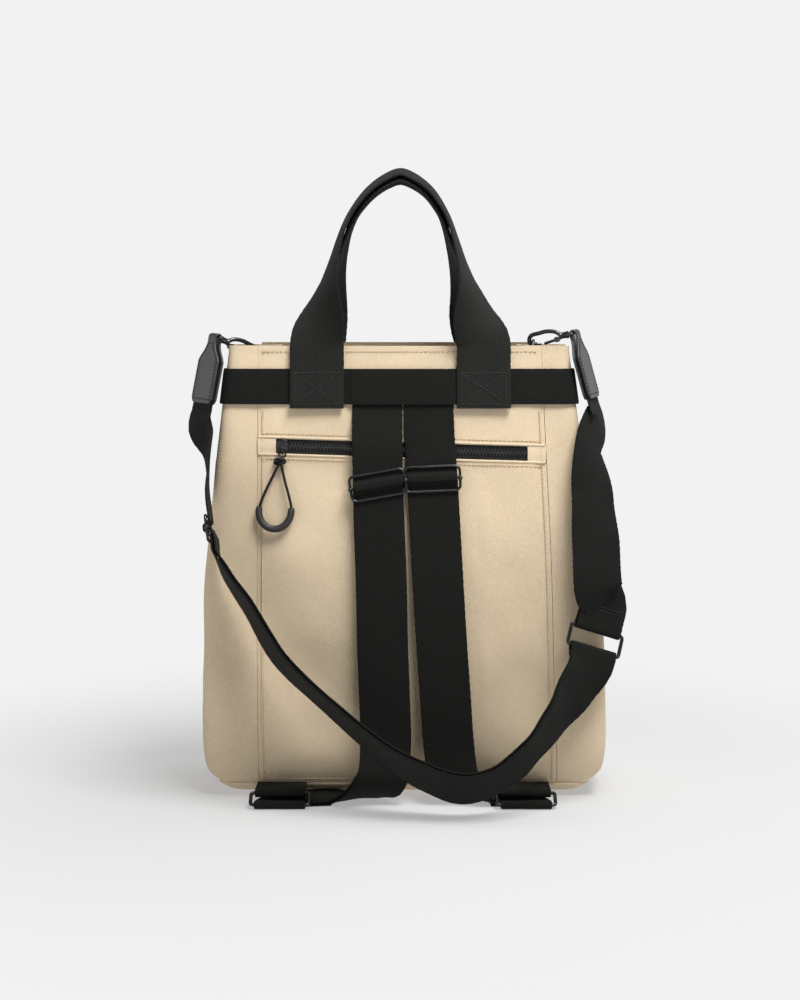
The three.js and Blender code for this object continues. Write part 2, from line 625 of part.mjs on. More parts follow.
function pocketZip() {
  const inSlot = (offset) => (x) => zipLine(x, offset * (zipSlot / 2 - gap));
  const low = inSlot(-1);
  const high = inSlot(1);
  const endLeft = (z) => seamLeftAt(z) + zipEndLength;
  const endRight = (z) => seamRightAt(z) - zipEndLength;
  add("zip_end_left", panelPatch(backFace, -1, seamLeftAt, (z) => endLeft(z) - gap, low, high, 2, 1), "canvas");
  add("zip_end_right", panelPatch(backFace, -1, (z) => endRight(z) + gap, seamRightAt, low, high, 2, 1), "canvas");
  add("zip_tape", panelPatch(backFace, -1, endLeft, endRight, low, high, 8, 1, tapeSink, tapeThickness), "webbing");
  const teethStart = (z) => endLeft(z) + zipSliderWidth + gap;
  const teethLow = (x) => zipLine(x, -teethHeight / 2);
  const teethHigh = (x) => zipLine(x, teethHeight / 2);
  const teethSink = tapeSink - gap - teethThickness;
  add("zip_teeth", panelPatch(backFace, -1, teethStart, (z) => endRight(z) - gap, teethLow, teethHigh, 8, 1,
    teethSink, teethThickness), "metal");

  const x = endLeft(zipHeight) + zipSliderWidth / 2;
  const z = zipLine(x, 0);
  const nose = zipSliderHeight / 2;
  const slope = Math.atan((backFace(x, z - nose) - backFace(x, z + nose)) / zipSliderHeight);
  const seat = -backFace(x, z) + tapeSink - gap;
  const onPanel = (geometry) => geometry.rotateX(-slope).translate(x, seat, z);
  const half = zipSliderWidth / 2 - gap;
  const outline = new THREE.Shape();
  outline.moveTo(-half, -nose * 0.6);
  outline.lineTo(-half, nose * 0.6);
  outline.quadraticCurveTo(-half, nose, 0, nose);
  outline.quadraticCurveTo(half, nose, half, nose * 0.6);
  outline.lineTo(half, -nose * 0.6);
  outline.quadraticCurveTo(half, -nose, 0, -nose);
  outline.quadraticCurveTo(-half, -nose, -half, -nose * 0.6);
  const plate = { depth: zipSliderThickness, bevelEnabled: false, curveSegments: 3 };
  const body = onPanel(new THREE.ExtrudeGeometry(outline, plate).rotateX(Math.PI / 2));
  const bridge = onPanel(wireLoop(
    [[0.6, -1], [0.6, 1], [-1, 1], [-1, -1]].map(([out, up]) =>
      vector(0, out * bridgeRadius - zipSliderThickness, up * bridgeRadius - nose / 2)),
    bridgeWire, 1.4, 6, 2));
  add("zip_slider", joined(body, bridge), "metal");

  // The ring hangs in the bridge, and the knot of the pull hangs from the ring
  const hang = vector(0, -zipSliderThickness - bridgeRadius / 2 + gap / 2, bridgeRadius - nose / 2)
    .applyAxisAngle(vector(1, 0, 0), -slope).add(vector(x, seat, z));
  const ringTop = hang.z - bridgeWire - pullRingWire - gap;
  const knotX = x - 2.2;
  const knotZ = ringTop - pullRingDrop - pullRingWire - gap - knotRadius * knotFlat;
  const knotY = Math.min(-backFace(knotX, knotZ) - gap - knotRadius * knotDeep, hang.y);
  const ringCorners = [[-1, 0], [1, 0], [1, -1], [-1, -1]].map(([a, b]) =>
    vector(x + a * pullRingHalf, b ? knotY : hang.y, ringTop + b * pullRingDrop));
  add("zip_pull_ring", wireLoop(ringCorners, pullRingWire, 2, 6, 2), "metal");

  const knot = new THREE.SphereGeometry(knotRadius, 10, 6);
  knot.scale(1.1, knotDeep, knotFlat).translate(knotX, knotY, knotZ);
  add("zip_pull_knot", knot, "webbing");

  const knotFoot = vector(knotX, knotY, knotZ);
  const points = cordRoute.map((row) => {
    const px = knotFoot.x + row.across;
    const pz = knotFoot.z + row.up;
    return vector(px, -backFace(px, pz) - row.out, pz);
  });
  const curve = new THREE.CatmullRomCurve3(points, false, "centripetal");
  add("zip_pull_cord", extrudedTube(curve, cordRadius, 6, 22), "webbing");
  const ringRow = (share, radius) => {
    const centre = curve.getPointAt(share);
    const tangent = curve.getTangentAt(share);
    const sideways = tangent.clone().cross(vector(0, 1, 0)).normalize();
    const out = sideways.clone().cross(tangent);
    return steps(8).slice(0, 8).map((part) =>
      centre.clone()
        .addScaledVector(sideways, radius * Math.cos(part * 2 * Math.PI))
        .addScaledVector(out, radius * Math.sin(part * 2 * Math.PI)));
  };
  const shares = steps(8).map((share) => gripStart + (gripEnd - gripStart) * share);
  add("zip_pull_grip", wall(shares.map((s) => ringRow(s, gripRadius)), shares.map((s) => ringRow(s, gripBore)),
    false, true), "rubber");
}

// Points of a gusset's outline in plan at a height, from the back seam round to the front seam
function gussetOutline(side, z) {
  const body = bodyAt(z);
  const edge = body.lean + side * body.width;
  const fold = body.lean + side * (body.width - body.fold);
  const seam = side < 0 ? body.seamLeft : body.seamRight;
  const d = body.depth;
  const control = [[seam, -d], [edge, -d], [edge, -d * 0.5], [fold, -d * 0.45], [fold, 0], [fold, d * 0.45],
    [edge, d * 0.5], [edge, d], [seam, d]].map(([x, y]) => new THREE.Vector2(x, y));
  const middle = (i) => control[i].clone().add(control[i + 1]).multiplyScalar(0.5);
  const points = [control[0].clone()];
  for (let i = 1; i < control.length - 1; i++) {
    const bend = new THREE.QuadraticBezierCurve(middle(i - 1), control[i], middle(i));
    const count = [4, 2, 2, 1, 2, 2, 4][i - 1];
    points.push(...bend.getPoints(count).slice(i === 1 ? 0 : 1));
  }
  return [...points, control[control.length - 1].clone()];
}

// The same outline moved along its normals, positive out of the bag
function offsetOutline(points, side, distance) {
  return points.map((point, i) => {
    const before = points[Math.max(i - 1, 0)];
    const after = points[Math.min(i + 1, points.length - 1)];
    const along = after.clone().sub(before).normalize();
    return point.clone().add(new THREE.Vector2(along.y, -along.x).multiplyScalar(side * distance));
  });
}

function gusset(side) {
  const rows = steps(9).map((share) => seamHeight + gap + (rimHeight - seamHeight - gap) * share ** 0.9);
  const grid = (distance) => rows.map((z) => {
    const shape = gussetOutline(side, z);
    shape[0].x += (side * gap) / 2;
    shape[shape.length - 1].x += (side * gap) / 2;
    return offsetOutline(shape, side, distance).map((p) => vector(p.x, p.y, z));
  });
  return wall(grid(0), grid(-canvas));
}

// The whole outline of the bag in plan at a height, counter-clockwise from the left end of the back panel
function bodyOutline(z, distance, backColumns, frontColumns) {
  const back = backColumns.map((x) => new THREE.Vector2(x, -backFace(x, z) - distance));
  const right = offsetOutline(gussetOutline(1, z), 1, distance);
  const front = frontColumns.map((x) => new THREE.Vector2(x, frontFace(x, z) + distance));
  const left = offsetOutline(gussetOutline(-1, z), -1, distance).reverse();
  return [...back, ...right, ...front, ...left];
}

const evenColumns = (z, count) => {
  const body = bodyAt(z);
  return steps(count).slice(1, count).map((u) => body.seamLeft + (body.seamRight - body.seamLeft) * u);
};

// The base: a shallow dish whose rounding starts at the bottom seam and whose middle is flat
function base() {
  const columns = evenColumns(seamHeight, 6);
  const seam = bodyOutline(seamHeight, 0, columns, columns.slice().reverse());
  const shell = (sink) => baseSections.map((row) => {
    const inset = row.inset * baseInset + (sink > 0 ? canvas * (1 - row.inset) : 0);
    const z = row.up * seamHeight + (sink > 0 ? canvas * row.inset : 0);
    return seam.map((p) => {
      const keepX = 1 - inset / bodyAt(seamHeight).width;
      const keepY = 1 - inset / bodyAt(seamHeight).depth;
      return vector(p.x * keepX, p.y * keepY, z);
    });
  });
  const outer = shell(0);
  const inner = shell(1);
  const count = seam.length;
  const points = [...outer.flat(), ...inner.flat(), vector(0, 0, 0), vector(0, 0, canvas)];
  const rows = outer.length;
  const index = (face, i, j) => face * rows * count + i * count + (j % count);
  const faces = [];
  for (let j = 0; j < count; j++) {
    for (let i = 0; i < rows - 1; i++) {
      faces.push(index(0, i, j), index(0, i + 1, j + 1), index(0, i, j + 1));
      faces.push(index(0, i, j), index(0, i + 1, j), index(0, i + 1, j + 1));
      faces.push(index(1, i, j), index(1, i, j + 1), index(1, i + 1, j + 1));
      faces.push(index(1, i, j), index(1, i + 1, j + 1), index(1, i + 1, j));
    }
    faces.push(index(0, 0, j), index(0, 0, j + 1), index(1, 0, j + 1));
    faces.push(index(0, 0, j), index(1, 0, j + 1), index(1, 0, j));
    faces.push(index(0, rows - 1, j), points.length - 2, index(0, rows - 1, j + 1));
    faces.push(index(1, rows - 1, j), index(1, rows - 1, j + 1), points.length - 1);
  }
  return facingOut(points, faces);
}

// The band lifts over the tops of the two shoulder straps
const strapEdges = {
  left: shoulderSections.left[0].across * bodyHalfWidth - webbing - gap,
  right: shoulderSections.right[0].across * bodyHalfWidth + webbing + gap,
};
const liftEase = 3;
function bandLift(x, y) {
  const past = Math.max(x - strapEdges.right, strapEdges.left - x, 0) / liftEase;
  return y < 0 ? (webThickness + gap) * Math.max(1 - past, 0) : 0;
}

function band() {
  const heights = steps(2).map((share) => bandMiddle + (share - 0.5) * bandHeight);
  const inner = [strapEdges.left - liftEase, strapEdges.left, 0, strapEdges.right, strapEdges.right + liftEase];
  const grid = (distance) => heights.map((z) => {
    const even = evenColumns(z, 8);
    const outside = even.filter((x) => x < inner[0] - liftEase || x > inner[4] + liftEase);
    const columns = [...outside, ...inner].sort((a, b) => a - b);
    return bodyOutline(z, distance, columns, even.slice().reverse())
      .map((p) => vector(p.x, p.y - bandLift(p.x, p.y), z));
  });
  return wall(grid(bandRoom + webThickness), grid(bandRoom), false, true);
}

const bandOut = bandRoom + webThickness;

// A handle: flat on the band at both ends, turning edge-on as it rises to the crown
function handle(side) {
  const foot = bandMiddle - bandHeight / 2 - 3;
  const bandTop = bandMiddle + bandHeight / 2;
  const rimDepth = bodyAt(rimHeight).depth;
  const nest = (up) => (side > 0 ? handleNest * THREE.MathUtils.smoothstep(up, 0.25, 0.6) : 0);
  const face = side < 0 ? backFace : frontFace;
  const leg = (end) => {
    const sign = end === "left" ? -1 : 1;
    const x = sign * handleHalfSpan * handleSections[0][end];
    const seat = [foot, bandMiddle, bandTop + 2].map((z) => ({
      point: vector(x, side * (face(x, Math.min(z, bandTop)) + bandOut + handleSeat + handleThickness / 2), z),
      twist: 0, cup: 0,
    }));
    const rise = handleSections.map((row) => ({
      point: vector(
        sign * (handleHalfSpan * row[end] - nest(row.up) * (1 - row.up ** 4)),
        side * (row.out * rimDepth + handleThickness * (1 - row.up)),
        foot + row.up * handleRise - nest(row.up) * row.up ** 4),
      twist: row.twist, cup: row.cup * handleWidth,
    }));
    return [...seat, ...rise];
  };
  const last = handleSections[handleSections.length - 1];
  const crown = { point: vector(-2, 0, foot + handleRise - nest(1)), twist: 90, cup: last.cup * handleWidth };
  const rows = [...leg("left"), crown, ...leg("right").reverse()];
  const curve = new THREE.CatmullRomCurve3(rows.map((row) => row.point), false, "centripetal");
  const stations = steps(28).map((t) => {
    const i = Math.min(Math.floor(t * (rows.length - 1)), rows.length - 2);
    const part = t * (rows.length - 1) - i;
    const value = (name) => rows[i][name] + (rows[i + 1][name] - rows[i][name]) * part;
    const tangent = curve.getTangent(t);
    const out = vector(0, side, 0);
    out.addScaledVector(tangent, -out.dot(tangent)).normalize();
    const outward = tangent.clone().cross(vector(0, 1, 0)).normalize();
    const angle = radians(value("twist"));
    const facing = out.clone().multiplyScalar(Math.cos(angle)).addScaledVector(outward, Math.sin(angle));
    return { point: curve.getPoint(t), across: tangent.clone().cross(facing), facing, cup: value("cup") };
  });
  return strip(stations, handleWidth, handleThickness, 4);
}

// A row of a strap's table as a point of its route
const placed = (row) => ({
  point: vector(row.across * bodyHalfWidth, -row.out * bodyHalfDepth, row.up * rimHeight),
  facing: facingFrom(row.turn, row.tip),
});

const floor = webThickness / 2 + gap;
function placedOnPanel(row, side) {
  const x = (side * webbing) / 2 + row.across * bodyHalfWidth;
  const z = Math.max(row.up * rimHeight, floor);
  const out = backFace(x, Math.max(z, heightAt(bodySections[2].up))) + row.away * bodyHalfDepth;
  return { point: vector(x, -out, z), facing: facingFrom(0, row.tip) };
}

// Raises a station whose edge would dip into the ground
function onGround(station) {
  const edge = (Math.abs(station.across.z) * webbing + Math.abs(station.facing.z) * webThickness) / 2;
  const lift = Math.max(gap - (station.point.z - edge), 0);
  return { ...station, point: station.point.clone().add(vector(0, 0, lift)) };
}

const ringHalfWidth = webbing / 2 + ringSideRoom + wire / 2;

function shoulderStrap(name) {
  const side = name === "left" ? -1 : 1;
  const facing = facingFrom(0, 90);
  const ringPoint = vector(side * lowerRingAcross * bodyHalfWidth, -lowerRingOut * bodyHalfDepth, floor);
  // On the ground the strap turns from running sideways to running forward, round a pinched inner edge
  const turnRadius = webbing / 2 + floorTurnPinch;
  const pivot = vector(ringPoint.x - side * turnRadius, -floorTurnOut * bodyHalfDepth - turnRadius, floor);
  const floorTurn = [0, 22.5, 45, 67.5, 90].map((degrees) => ({
    point: pivot.clone().add(vector(
      side * turnRadius * Math.sin(radians(degrees)), turnRadius * Math.cos(radians(degrees)), 0)),
    facing,
  }));
  const rows = [...shoulderSections[name].map((row) => placedOnPanel(row, side)), ...floorTurn, { point: ringPoint, facing }];
  const path = route(rows);
  const sliderPlace = path.distanceAtHeight(shoulderSliders[name].up * rimHeight);
  const { tilt } = shoulderSliders[name];
  const strap = doubledStrap(path, sliderPlace, tilt, 14);
  add("shoulder_strap_" + name, strip(strap.stations.map(onGround), webbing, webThickness), "webbing");
  add("strap_slider_" + name, ladderSlider(path.at(sliderPlace), tilt), "metal");
  const lean = vector(0, Math.cos(radians(lowerRingLean)), Math.sin(radians(lowerRingLean)));
  add("lower_ring_" + name,
    rectangularRing(strap.centre, vector(1, 0, 0), lean, lowerRingInside, ringHalfWidth), "metal");

  // The tab in the bottom seam that holds the ring's upper bar
  const upperBar = strap.centre.clone().addScaledVector(lean, lowerRingInside + wire);
  const start = -bodyAt(seamHeight).depth - webThickness;
  const tab = (degrees) => {
    const out = vector(0, -Math.sin(radians(degrees)), Math.cos(radians(degrees)));
    return { point: upperBar.clone().addScaledVector(out, barRoom), across: vector(1, 0, 0), facing: out };
  };
  const end = (sign) => ({
    point: vector(upperBar.x, start, seamHeight + sign * webThickness),
    across: vector(1, 0, 0), facing: vector(0, 0, sign),
  });
  const stations = [end(1), ...[0, 45, 90, 135, 180].map(tab), end(-1)];
  add("ring_tab_" + name, strip(stations, webbing, webThickness), "webbing");
}

function crossbodyStrap(leftTab, rightTab) {
  const path = route([...leftTab, ...crossbodySections.map(placed)]);
  const sliderPlace = path.distanceAtHeight(crossbodySliderUp * rimHeight);
  const strap = doubledStrap(path, sliderPlace, 0, 17);
  add("crossbody_strap", strip(strap.stations, webbing, webThickness), "webbing");
  add("crossbody_slider", ladderSlider(path.at(sliderPlace)), "metal");
  const end = strap.end;
  add("crossbody_ring", rectangularRing(strap.centre, end.across, end.tangent, ringInside, ringHalfWidth), "metal");

  // The end webbing comes down from the right tab and folds round the ring's other bar
  const farBar = strap.centre.clone().addScaledVector(end.tangent, ringInside + wire);
  const down = end.tangent.clone().negate();
  const last = farBar.clone().addScaledVector(end.facing, barRoom);
  const before = [2, 1, 0].map((share) => ({
    point: last.clone().addScaledVector(end.tangent, share * endStraight), facing: end.facing,
  }));
  const endPath = route([...rightTab, ...crossbodyEndSections.map(placed), ...before]);
  const stations = steps(15).map((share) => endPath.at(share * (endPath.length - endStraight)));
  const across = down.clone().cross(end.facing);
  stations.push({ point: last, across, facing: end.facing });
  const turn = [45, 90, 135, 180].map((degrees) => {
    const facing = end.facing.clone().multiplyScalar(Math.cos(radians(degrees)))
      .addScaledVector(down, Math.sin(radians(degrees)));
    return { point: farBar.clone().addScaledVector(facing, barRoom), across, facing };
  });
  const hem = last.clone().addScaledVector(end.facing, -layerPitch).addScaledVector(end.tangent, endHem);
  stations.push(...turn, { point: hem, across, facing: end.facing.clone().negate() });
  add("crossbody_strap_end", strip(stations, webbing, webThickness), "webbing");
}

// Where the inward fold of a gusset runs, out from the middle of the bag
const foldFace = (side, z) => {
  const body = bodyAt(z);
  return body.lean + side * (body.width - body.fold);
};

// The D-ring, the snap hook in it and the leather tab at one end of the crossbody strap
function hookEnd(name) {
  const place = hookPlaces[name];
  const { side } = place;
  // Tab of the D-ring, sewn over the band at the fold and looped round the ring's bar
  const low = bandMiddle - bandHeight / 2 + 1;
  const barHeight = rimHeight - dRingDrop;
  const seat = (z) => foldFace(side, z) + side * (bandOut + gap + dRingTabThickness / 2);
  const loopRadius = (dRingWire + dRingTabThickness) / 2 + gap;
  const barX = seat(barHeight) + side * loopRadius;
  const across = vector(0, 1, 0);
  const inward = (z) => ({ point: vector(seat(z), 0, z), across, facing: vector(-side, 0, 0) });
  const over = [0, 60, 120, 180].map((degrees) => {
    const facing = vector(-side * Math.cos(radians(degrees)), 0, Math.sin(radians(degrees)));
    return { point: vector(barX, 0, barHeight).addScaledVector(facing, loopRadius), across, facing };
  });
  const outside = (z) => ({
    point: vector(seat(z) + side * (dRingTabThickness + gap), 0, z), across, facing: vector(side, 0, 0),
  });
  const tabStations = [inward(low), inward(bandMiddle), ...over, outside(barHeight - 8), outside(low)];
  add("d_ring_tab_" + name, strip(tabStations, dRingTabWidth, dRingTabThickness), "webbing");

  const lean = radians(place.ringLean);
  const ringUp = vector(side * Math.sin(lean), 0, Math.cos(lean));
  const half = (dRingWidth - dRingWire) / 2;
  const at = (a, b) => vector(barX, a * half, barHeight).addScaledVector(ringUp, b * dRingRise);
  const ringCorners = [at(-1, 0), at(1, 0), at(1, 0.55), at(0.45, 1), at(-0.45, 1), at(-1, 0.55)];
  add("d_ring_" + name, wireLoop(ringCorners, dRingWire / 2, 1.5, 6, 2), "metal");

  // Snap hook, from the D-ring's wire out to the bar that the leather tab holds
  const slope = radians(place.hookSlope);
  const turn = radians(place.hookTurn);
  const outward = vector(side * Math.cos(turn), -Math.sin(turn), 0);
  const barAlong = vector(side * Math.sin(turn), Math.cos(turn), 0);
  const leaning = (out, up) => outward.clone().multiplyScalar(out).setZ(up);
  const u = leaning(-Math.cos(slope), -Math.sin(slope));
  const v = leaning(-Math.sin(slope), Math.cos(slope));
  const catchPoint = vector(barX, 0, barHeight).addScaledVector(ringUp, dRingRise);
  const eye = catchPoint.clone().addScaledVector(u, -hookReach);
  const spot = (a, b, c = 0) =>
    eye.clone().addScaledVector(u, a).addScaledVector(v, b).addScaledVector(barAlong, c);
  const bowl = (dRingWire + hookWire) / 2 + 1.5 * gap + bowlRoom;
  const bowlCentre = hookReach - bowlRoom;
  const hookPoints = [
    ...hookShank.map((row) => spot(row.along, row.up)),
    ...bowlTurns.map((degrees) =>
      spot(bowlCentre + Math.cos(radians(degrees)) * bowl, Math.sin(radians(degrees)) * bowl)),
    spot(hookReach - hookTip.before, hookTip.up),
  ];
  const hookTube = extrudedTube(new THREE.CatmullRomCurve3(hookPoints, false, "centripetal"), hookWire / 2, 6, 12);
  const barrel = bar(spot(barrelSpan[0], 0), spot(barrelSpan[1], 0), barrelRadius, 8);
  const eyeHalf = tabNeck / 2 + eyeRoom;
  const eyeCorners = [[0, -1], [0, 1], [1, 1], [1, -1]].map(([a, c]) => spot(a * eyeDepth, 0, c * eyeHalf));
  const eyeLoop = wireLoop(eyeCorners, hookEyeWire / 2, 1.6, 6, 1);
  const earOut = gateHub + gap + earThickness / 2;
  const ears = [earOut, -earOut].flatMap((c) => [
    bar(spot(...gatePivot, c - earThickness / 2), spot(...gatePivot, c + earThickness / 2), earRadius, 6),
    bar(spot(...earRoot, c), spot(...gatePivot, c), earThickness / 2 - 0.05, 5),
  ]);
  add("snap_hook_" + name, joined(hookTube, barrel, eyeLoop, ...ears), "metal");

  const hub = bar(spot(...gatePivot, -gateHub), spot(...gatePivot, gateHub), gateHubRadius, 8);
  const blade = bar(spot(...gatePivot), spot(hookReach - gateTip.before, gateTip.up), gateRadius, 6);
  add("hook_gate_" + name, joined(hub, blade), "metal");

  // Leather tab, folded over the hook's bar and sewn on both faces of the webbing
  const tip = radians(place.tabLean);
  const toward = leaning(Math.sin(tip), -Math.cos(tip));
  const face = leaning(Math.cos(tip), Math.sin(tip));
  const along = (share) => eye.clone().addScaledVector(toward, share * tabLength);
  const halfStack = webThickness / 2 + gap + leather / 2;
  const loop = hookEyeWire / 2 + gap + leather / 2;
  const layer = (sign) => (row) => {
    const away = loop + (halfStack - loop) * Math.min(row.down / tabClose, 1);
    return {
      point: along(row.down).addScaledVector(face, sign * away),
      across: barAlong, facing: face.clone().multiplyScalar(sign), width: tabWidth * row.width,
    };
  };
  const overBar = [0, 45, 90, 135, 180].map((degrees) => {
    const facing = face.clone().multiplyScalar(Math.cos(radians(degrees)))
      .addScaledVector(toward, -Math.sin(radians(degrees)));
    return { point: eye.clone().addScaledVector(facing, loop), across: barAlong, facing, width: tabNeck };
  });
  const stations = [...tabSections.map(layer(1)), ...overBar, ...tabSections.slice().reverse().map(layer(-1))];
  add("leather_tab_" + name, strip(stations, tabWidth, leather), "leather");
  return strapInTab.map((share) => ({ point: along(share), facing: face }));
}

bodyPanels();
add("gusset_left", gusset(-1), "canvas");
add("gusset_right", gusset(1), "canvas");
add("base_panel", base(), "canvas");
pocketZip();
add("band", band(), "webbing");
add("handle_back", handle(-1), "webbing");
add("handle_front", handle(1), "webbing");
shoulderStrap("left");
shoulderStrap("right");
crossbodyStrap(hookEnd("left"), hookEnd("right"));

export default group;
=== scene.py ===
# Convertible backpack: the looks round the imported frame. Lengths are in millimetres until a mesh is made.
import math
from functools import lru_cache

import bmesh
import bpy
import numpy as np
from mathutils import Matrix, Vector, noise


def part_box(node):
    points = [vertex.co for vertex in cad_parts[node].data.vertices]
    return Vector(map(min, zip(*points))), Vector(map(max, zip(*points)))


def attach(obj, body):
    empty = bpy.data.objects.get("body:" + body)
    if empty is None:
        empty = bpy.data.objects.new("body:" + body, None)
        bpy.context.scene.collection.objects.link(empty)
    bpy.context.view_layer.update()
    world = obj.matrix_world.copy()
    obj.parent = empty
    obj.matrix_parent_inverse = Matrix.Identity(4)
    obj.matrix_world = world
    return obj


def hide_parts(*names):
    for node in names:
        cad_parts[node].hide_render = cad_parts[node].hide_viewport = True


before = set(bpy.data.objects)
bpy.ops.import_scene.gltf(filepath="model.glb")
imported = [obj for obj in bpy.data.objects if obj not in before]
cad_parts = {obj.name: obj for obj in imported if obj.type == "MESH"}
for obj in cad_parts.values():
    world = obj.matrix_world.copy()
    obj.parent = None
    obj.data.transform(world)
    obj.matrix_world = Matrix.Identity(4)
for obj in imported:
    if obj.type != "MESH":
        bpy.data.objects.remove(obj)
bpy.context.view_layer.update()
mm = 0.001
print("frame loaded")

# Camera at the photograph's angle
cameraLook = {"lens": 73.44, "place": (-0.00235, -1.660, 0.420), "drop": 0.178, "reach": 1.600}
cameraData = bpy.data.cameras.new("camera")
cameraData.lens = cameraLook["lens"]
cameraData.sensor_width = 36
cameraObject = bpy.data.objects.new("camera", cameraData)
cameraObject.location = cameraLook["place"]
cameraObject.rotation_euler = (math.pi / 2 - math.atan(cameraLook["drop"] / cameraLook["reach"]), 0, 0)
bpy.context.scene.collection.objects.link(cameraObject)
bpy.context.scene.camera = cameraObject


# Procedural materials
def material(name, colour, roughness, build=None, metallic=0, sheen=0):
    made = bpy.data.materials.new(name)
    made.use_nodes = True
    tree = made.node_tree
    shader = tree.nodes["Principled BSDF"]
    shader.inputs["Base Color"].default_value = (*colour, 1)
    shader.inputs["Roughness"].default_value = roughness
    shader.inputs["Metallic"].default_value = metallic
    shader.inputs["Sheen Weight"].default_value = sheen
    shader.inputs["Specular IOR Level"].default_value = 0.5 if roughness < 0.8 else 0.2
    if build:
        build(tree, shader, colour)
    return made


def node(tree, kind, **values):
    made = tree.nodes.new(kind)
    for key, value in values.items():
        if hasattr(made, key):
            setattr(made, key, value)
        else:
            made.inputs[key.replace("_", " ")].default_value = value
    return made


def mathNode(tree, operation, a, b=0.0):
    made = node(tree, "ShaderNodeMath", operation=operation)
    for socket, value in zip(made.inputs, (a, b)):
        if isinstance(value, (int, float)):
            socket.default_value = value
        else:
            tree.links.new(value, socket)
    return made.outputs[0]


def bump(tree, shader, height, strength, distance):
    made = node(tree, "ShaderNodeBump", Strength=strength, Distance=distance)
    tree.links.new(height, made.inputs["Height"])
    tree.links.new(made.outputs["Normal"], shader.inputs["Normal"])


def shadeBy(tree, shader, factor, dark, light, low=0.0, high=1.0):
    ramp = node(tree, "ShaderNodeValToRGB")
    ramp.color_ramp.elements[0].position, ramp.color_ramp.elements[1].position = low, high
    ramp.color_ramp.elements[0].color, ramp.color_ramp.elements[1].color = (*dark, 1), (*light, 1)
    tree.links.new(factor, ramp.inputs[0])
    tree.links.new(ramp.outputs[0], shader.inputs["Base Color"])


canvasCloth = {"thread": 3200.0, "slub": 260.0, "patches": 9.0, "weaveShare": 0.16, "slubShare": 0.25,
               "patchShare": 0.7, "dark": 0.8, "light": 1.1}


def canvasWeave(tree, shader, colour):
    cloth = canvasCloth
    place = node(tree, "ShaderNodeTexCoord")
    parts = node(tree, "ShaderNodeSeparateXYZ")
    tree.links.new(place.outputs["Object"], parts.inputs[0])
    flat = mathNode(tree, "ADD", parts.outputs[0], parts.outputs[1])
    warp = mathNode(tree, "SINE", mathNode(tree, "MULTIPLY", flat, cloth["thread"]))
    weft = mathNode(tree, "SINE", mathNode(tree, "MULTIPLY", parts.outputs[2], cloth["thread"]))
    weave = mathNode(tree, "MULTIPLY", warp, weft)
    slub = node(tree, "ShaderNodeTexNoise", Scale=cloth["slub"], Detail=4.0)
    patches = node(tree, "ShaderNodeTexNoise", Scale=cloth["patches"], Detail=2.0)
    tree.links.new(place.outputs["Object"], slub.inputs["Vector"])
    tree.links.new(place.outputs["Object"], patches.inputs["Vector"])
    uneven = mathNode(tree, "ADD", mathNode(tree, "MULTIPLY", slub.outputs[0], cloth["slubShare"]),
                      mathNode(tree, "MULTIPLY", patches.outputs[0], cloth["patchShare"]))
    mixed = mathNode(tree, "ADD", mathNode(tree, "MULTIPLY", weave, cloth["weaveShare"]), uneven)
    dark = tuple(c * cloth["dark"] for c in colour)
    light = tuple(min(c * cloth["light"], 1) for c in colour)
    shadeBy(tree, shader, mixed, dark, light, 0.25, 0.7)
    height = mathNode(tree, "ADD", mathNode(tree, "MULTIPLY", weave, 0.5), slub.outputs[0])
    bump(tree, shader, height, 0.35, 0.0006)


webbingCloth = {"turn": 3.2, "twill": 3.4, "fuzz": 1.3, "dark": 0.4, "light": 1.9}  # turn: width of one chevron


def herringbone(tree, shader, colour):
    cloth = webbingCloth
    place = node(tree, "ShaderNodeAttribute", attribute_name="clothCoord")
    parts = node(tree, "ShaderNodeSeparateXYZ")
    tree.links.new(place.outputs["Vector"], parts.inputs[0])
    zigzag = mathNode(tree, "PINGPONG", mathNode(tree, "ADD", parts.outputs[0], 100.0), cloth["turn"])
    along = mathNode(tree, "ADD", parts.outputs[1], zigzag)
    twill = mathNode(tree, "SINE", mathNode(tree, "MULTIPLY", along, cloth["twill"]))
    fuzz = node(tree, "ShaderNodeTexNoise", Scale=cloth["fuzz"], Detail=3.0)
    tree.links.new(place.outputs["Vector"], fuzz.inputs["Vector"])
    height = mathNode(tree, "ADD", mathNode(tree, "MULTIPLY", twill, 0.5), fuzz.outputs[0])
    shadeBy(tree, shader, mathNode(tree, "MULTIPLY", height, 0.6),
            tuple(c * cloth["dark"] for c in colour), tuple(c * cloth["light"] for c in colour), 0.05, 0.65)
    bump(tree, shader, height, 0.5, 0.0005)


def grain(scale, strength):
    def build(tree, shader, colour):
        place = node(tree, "ShaderNodeTexCoord")
        rough = node(tree, "ShaderNodeTexNoise", Scale=scale, Detail=5.0)
        tree.links.new(place.outputs["Object"], rough.inputs["Vector"])
        dark, light = tuple(c * 0.75 for c in colour), tuple(c * 1.25 for c in colour)
        shadeBy(tree, shader, rough.outputs[0], dark, light, 0.3, 0.7)
        bump(tree, shader, rough.outputs[0], strength, 0.0005)
    return build


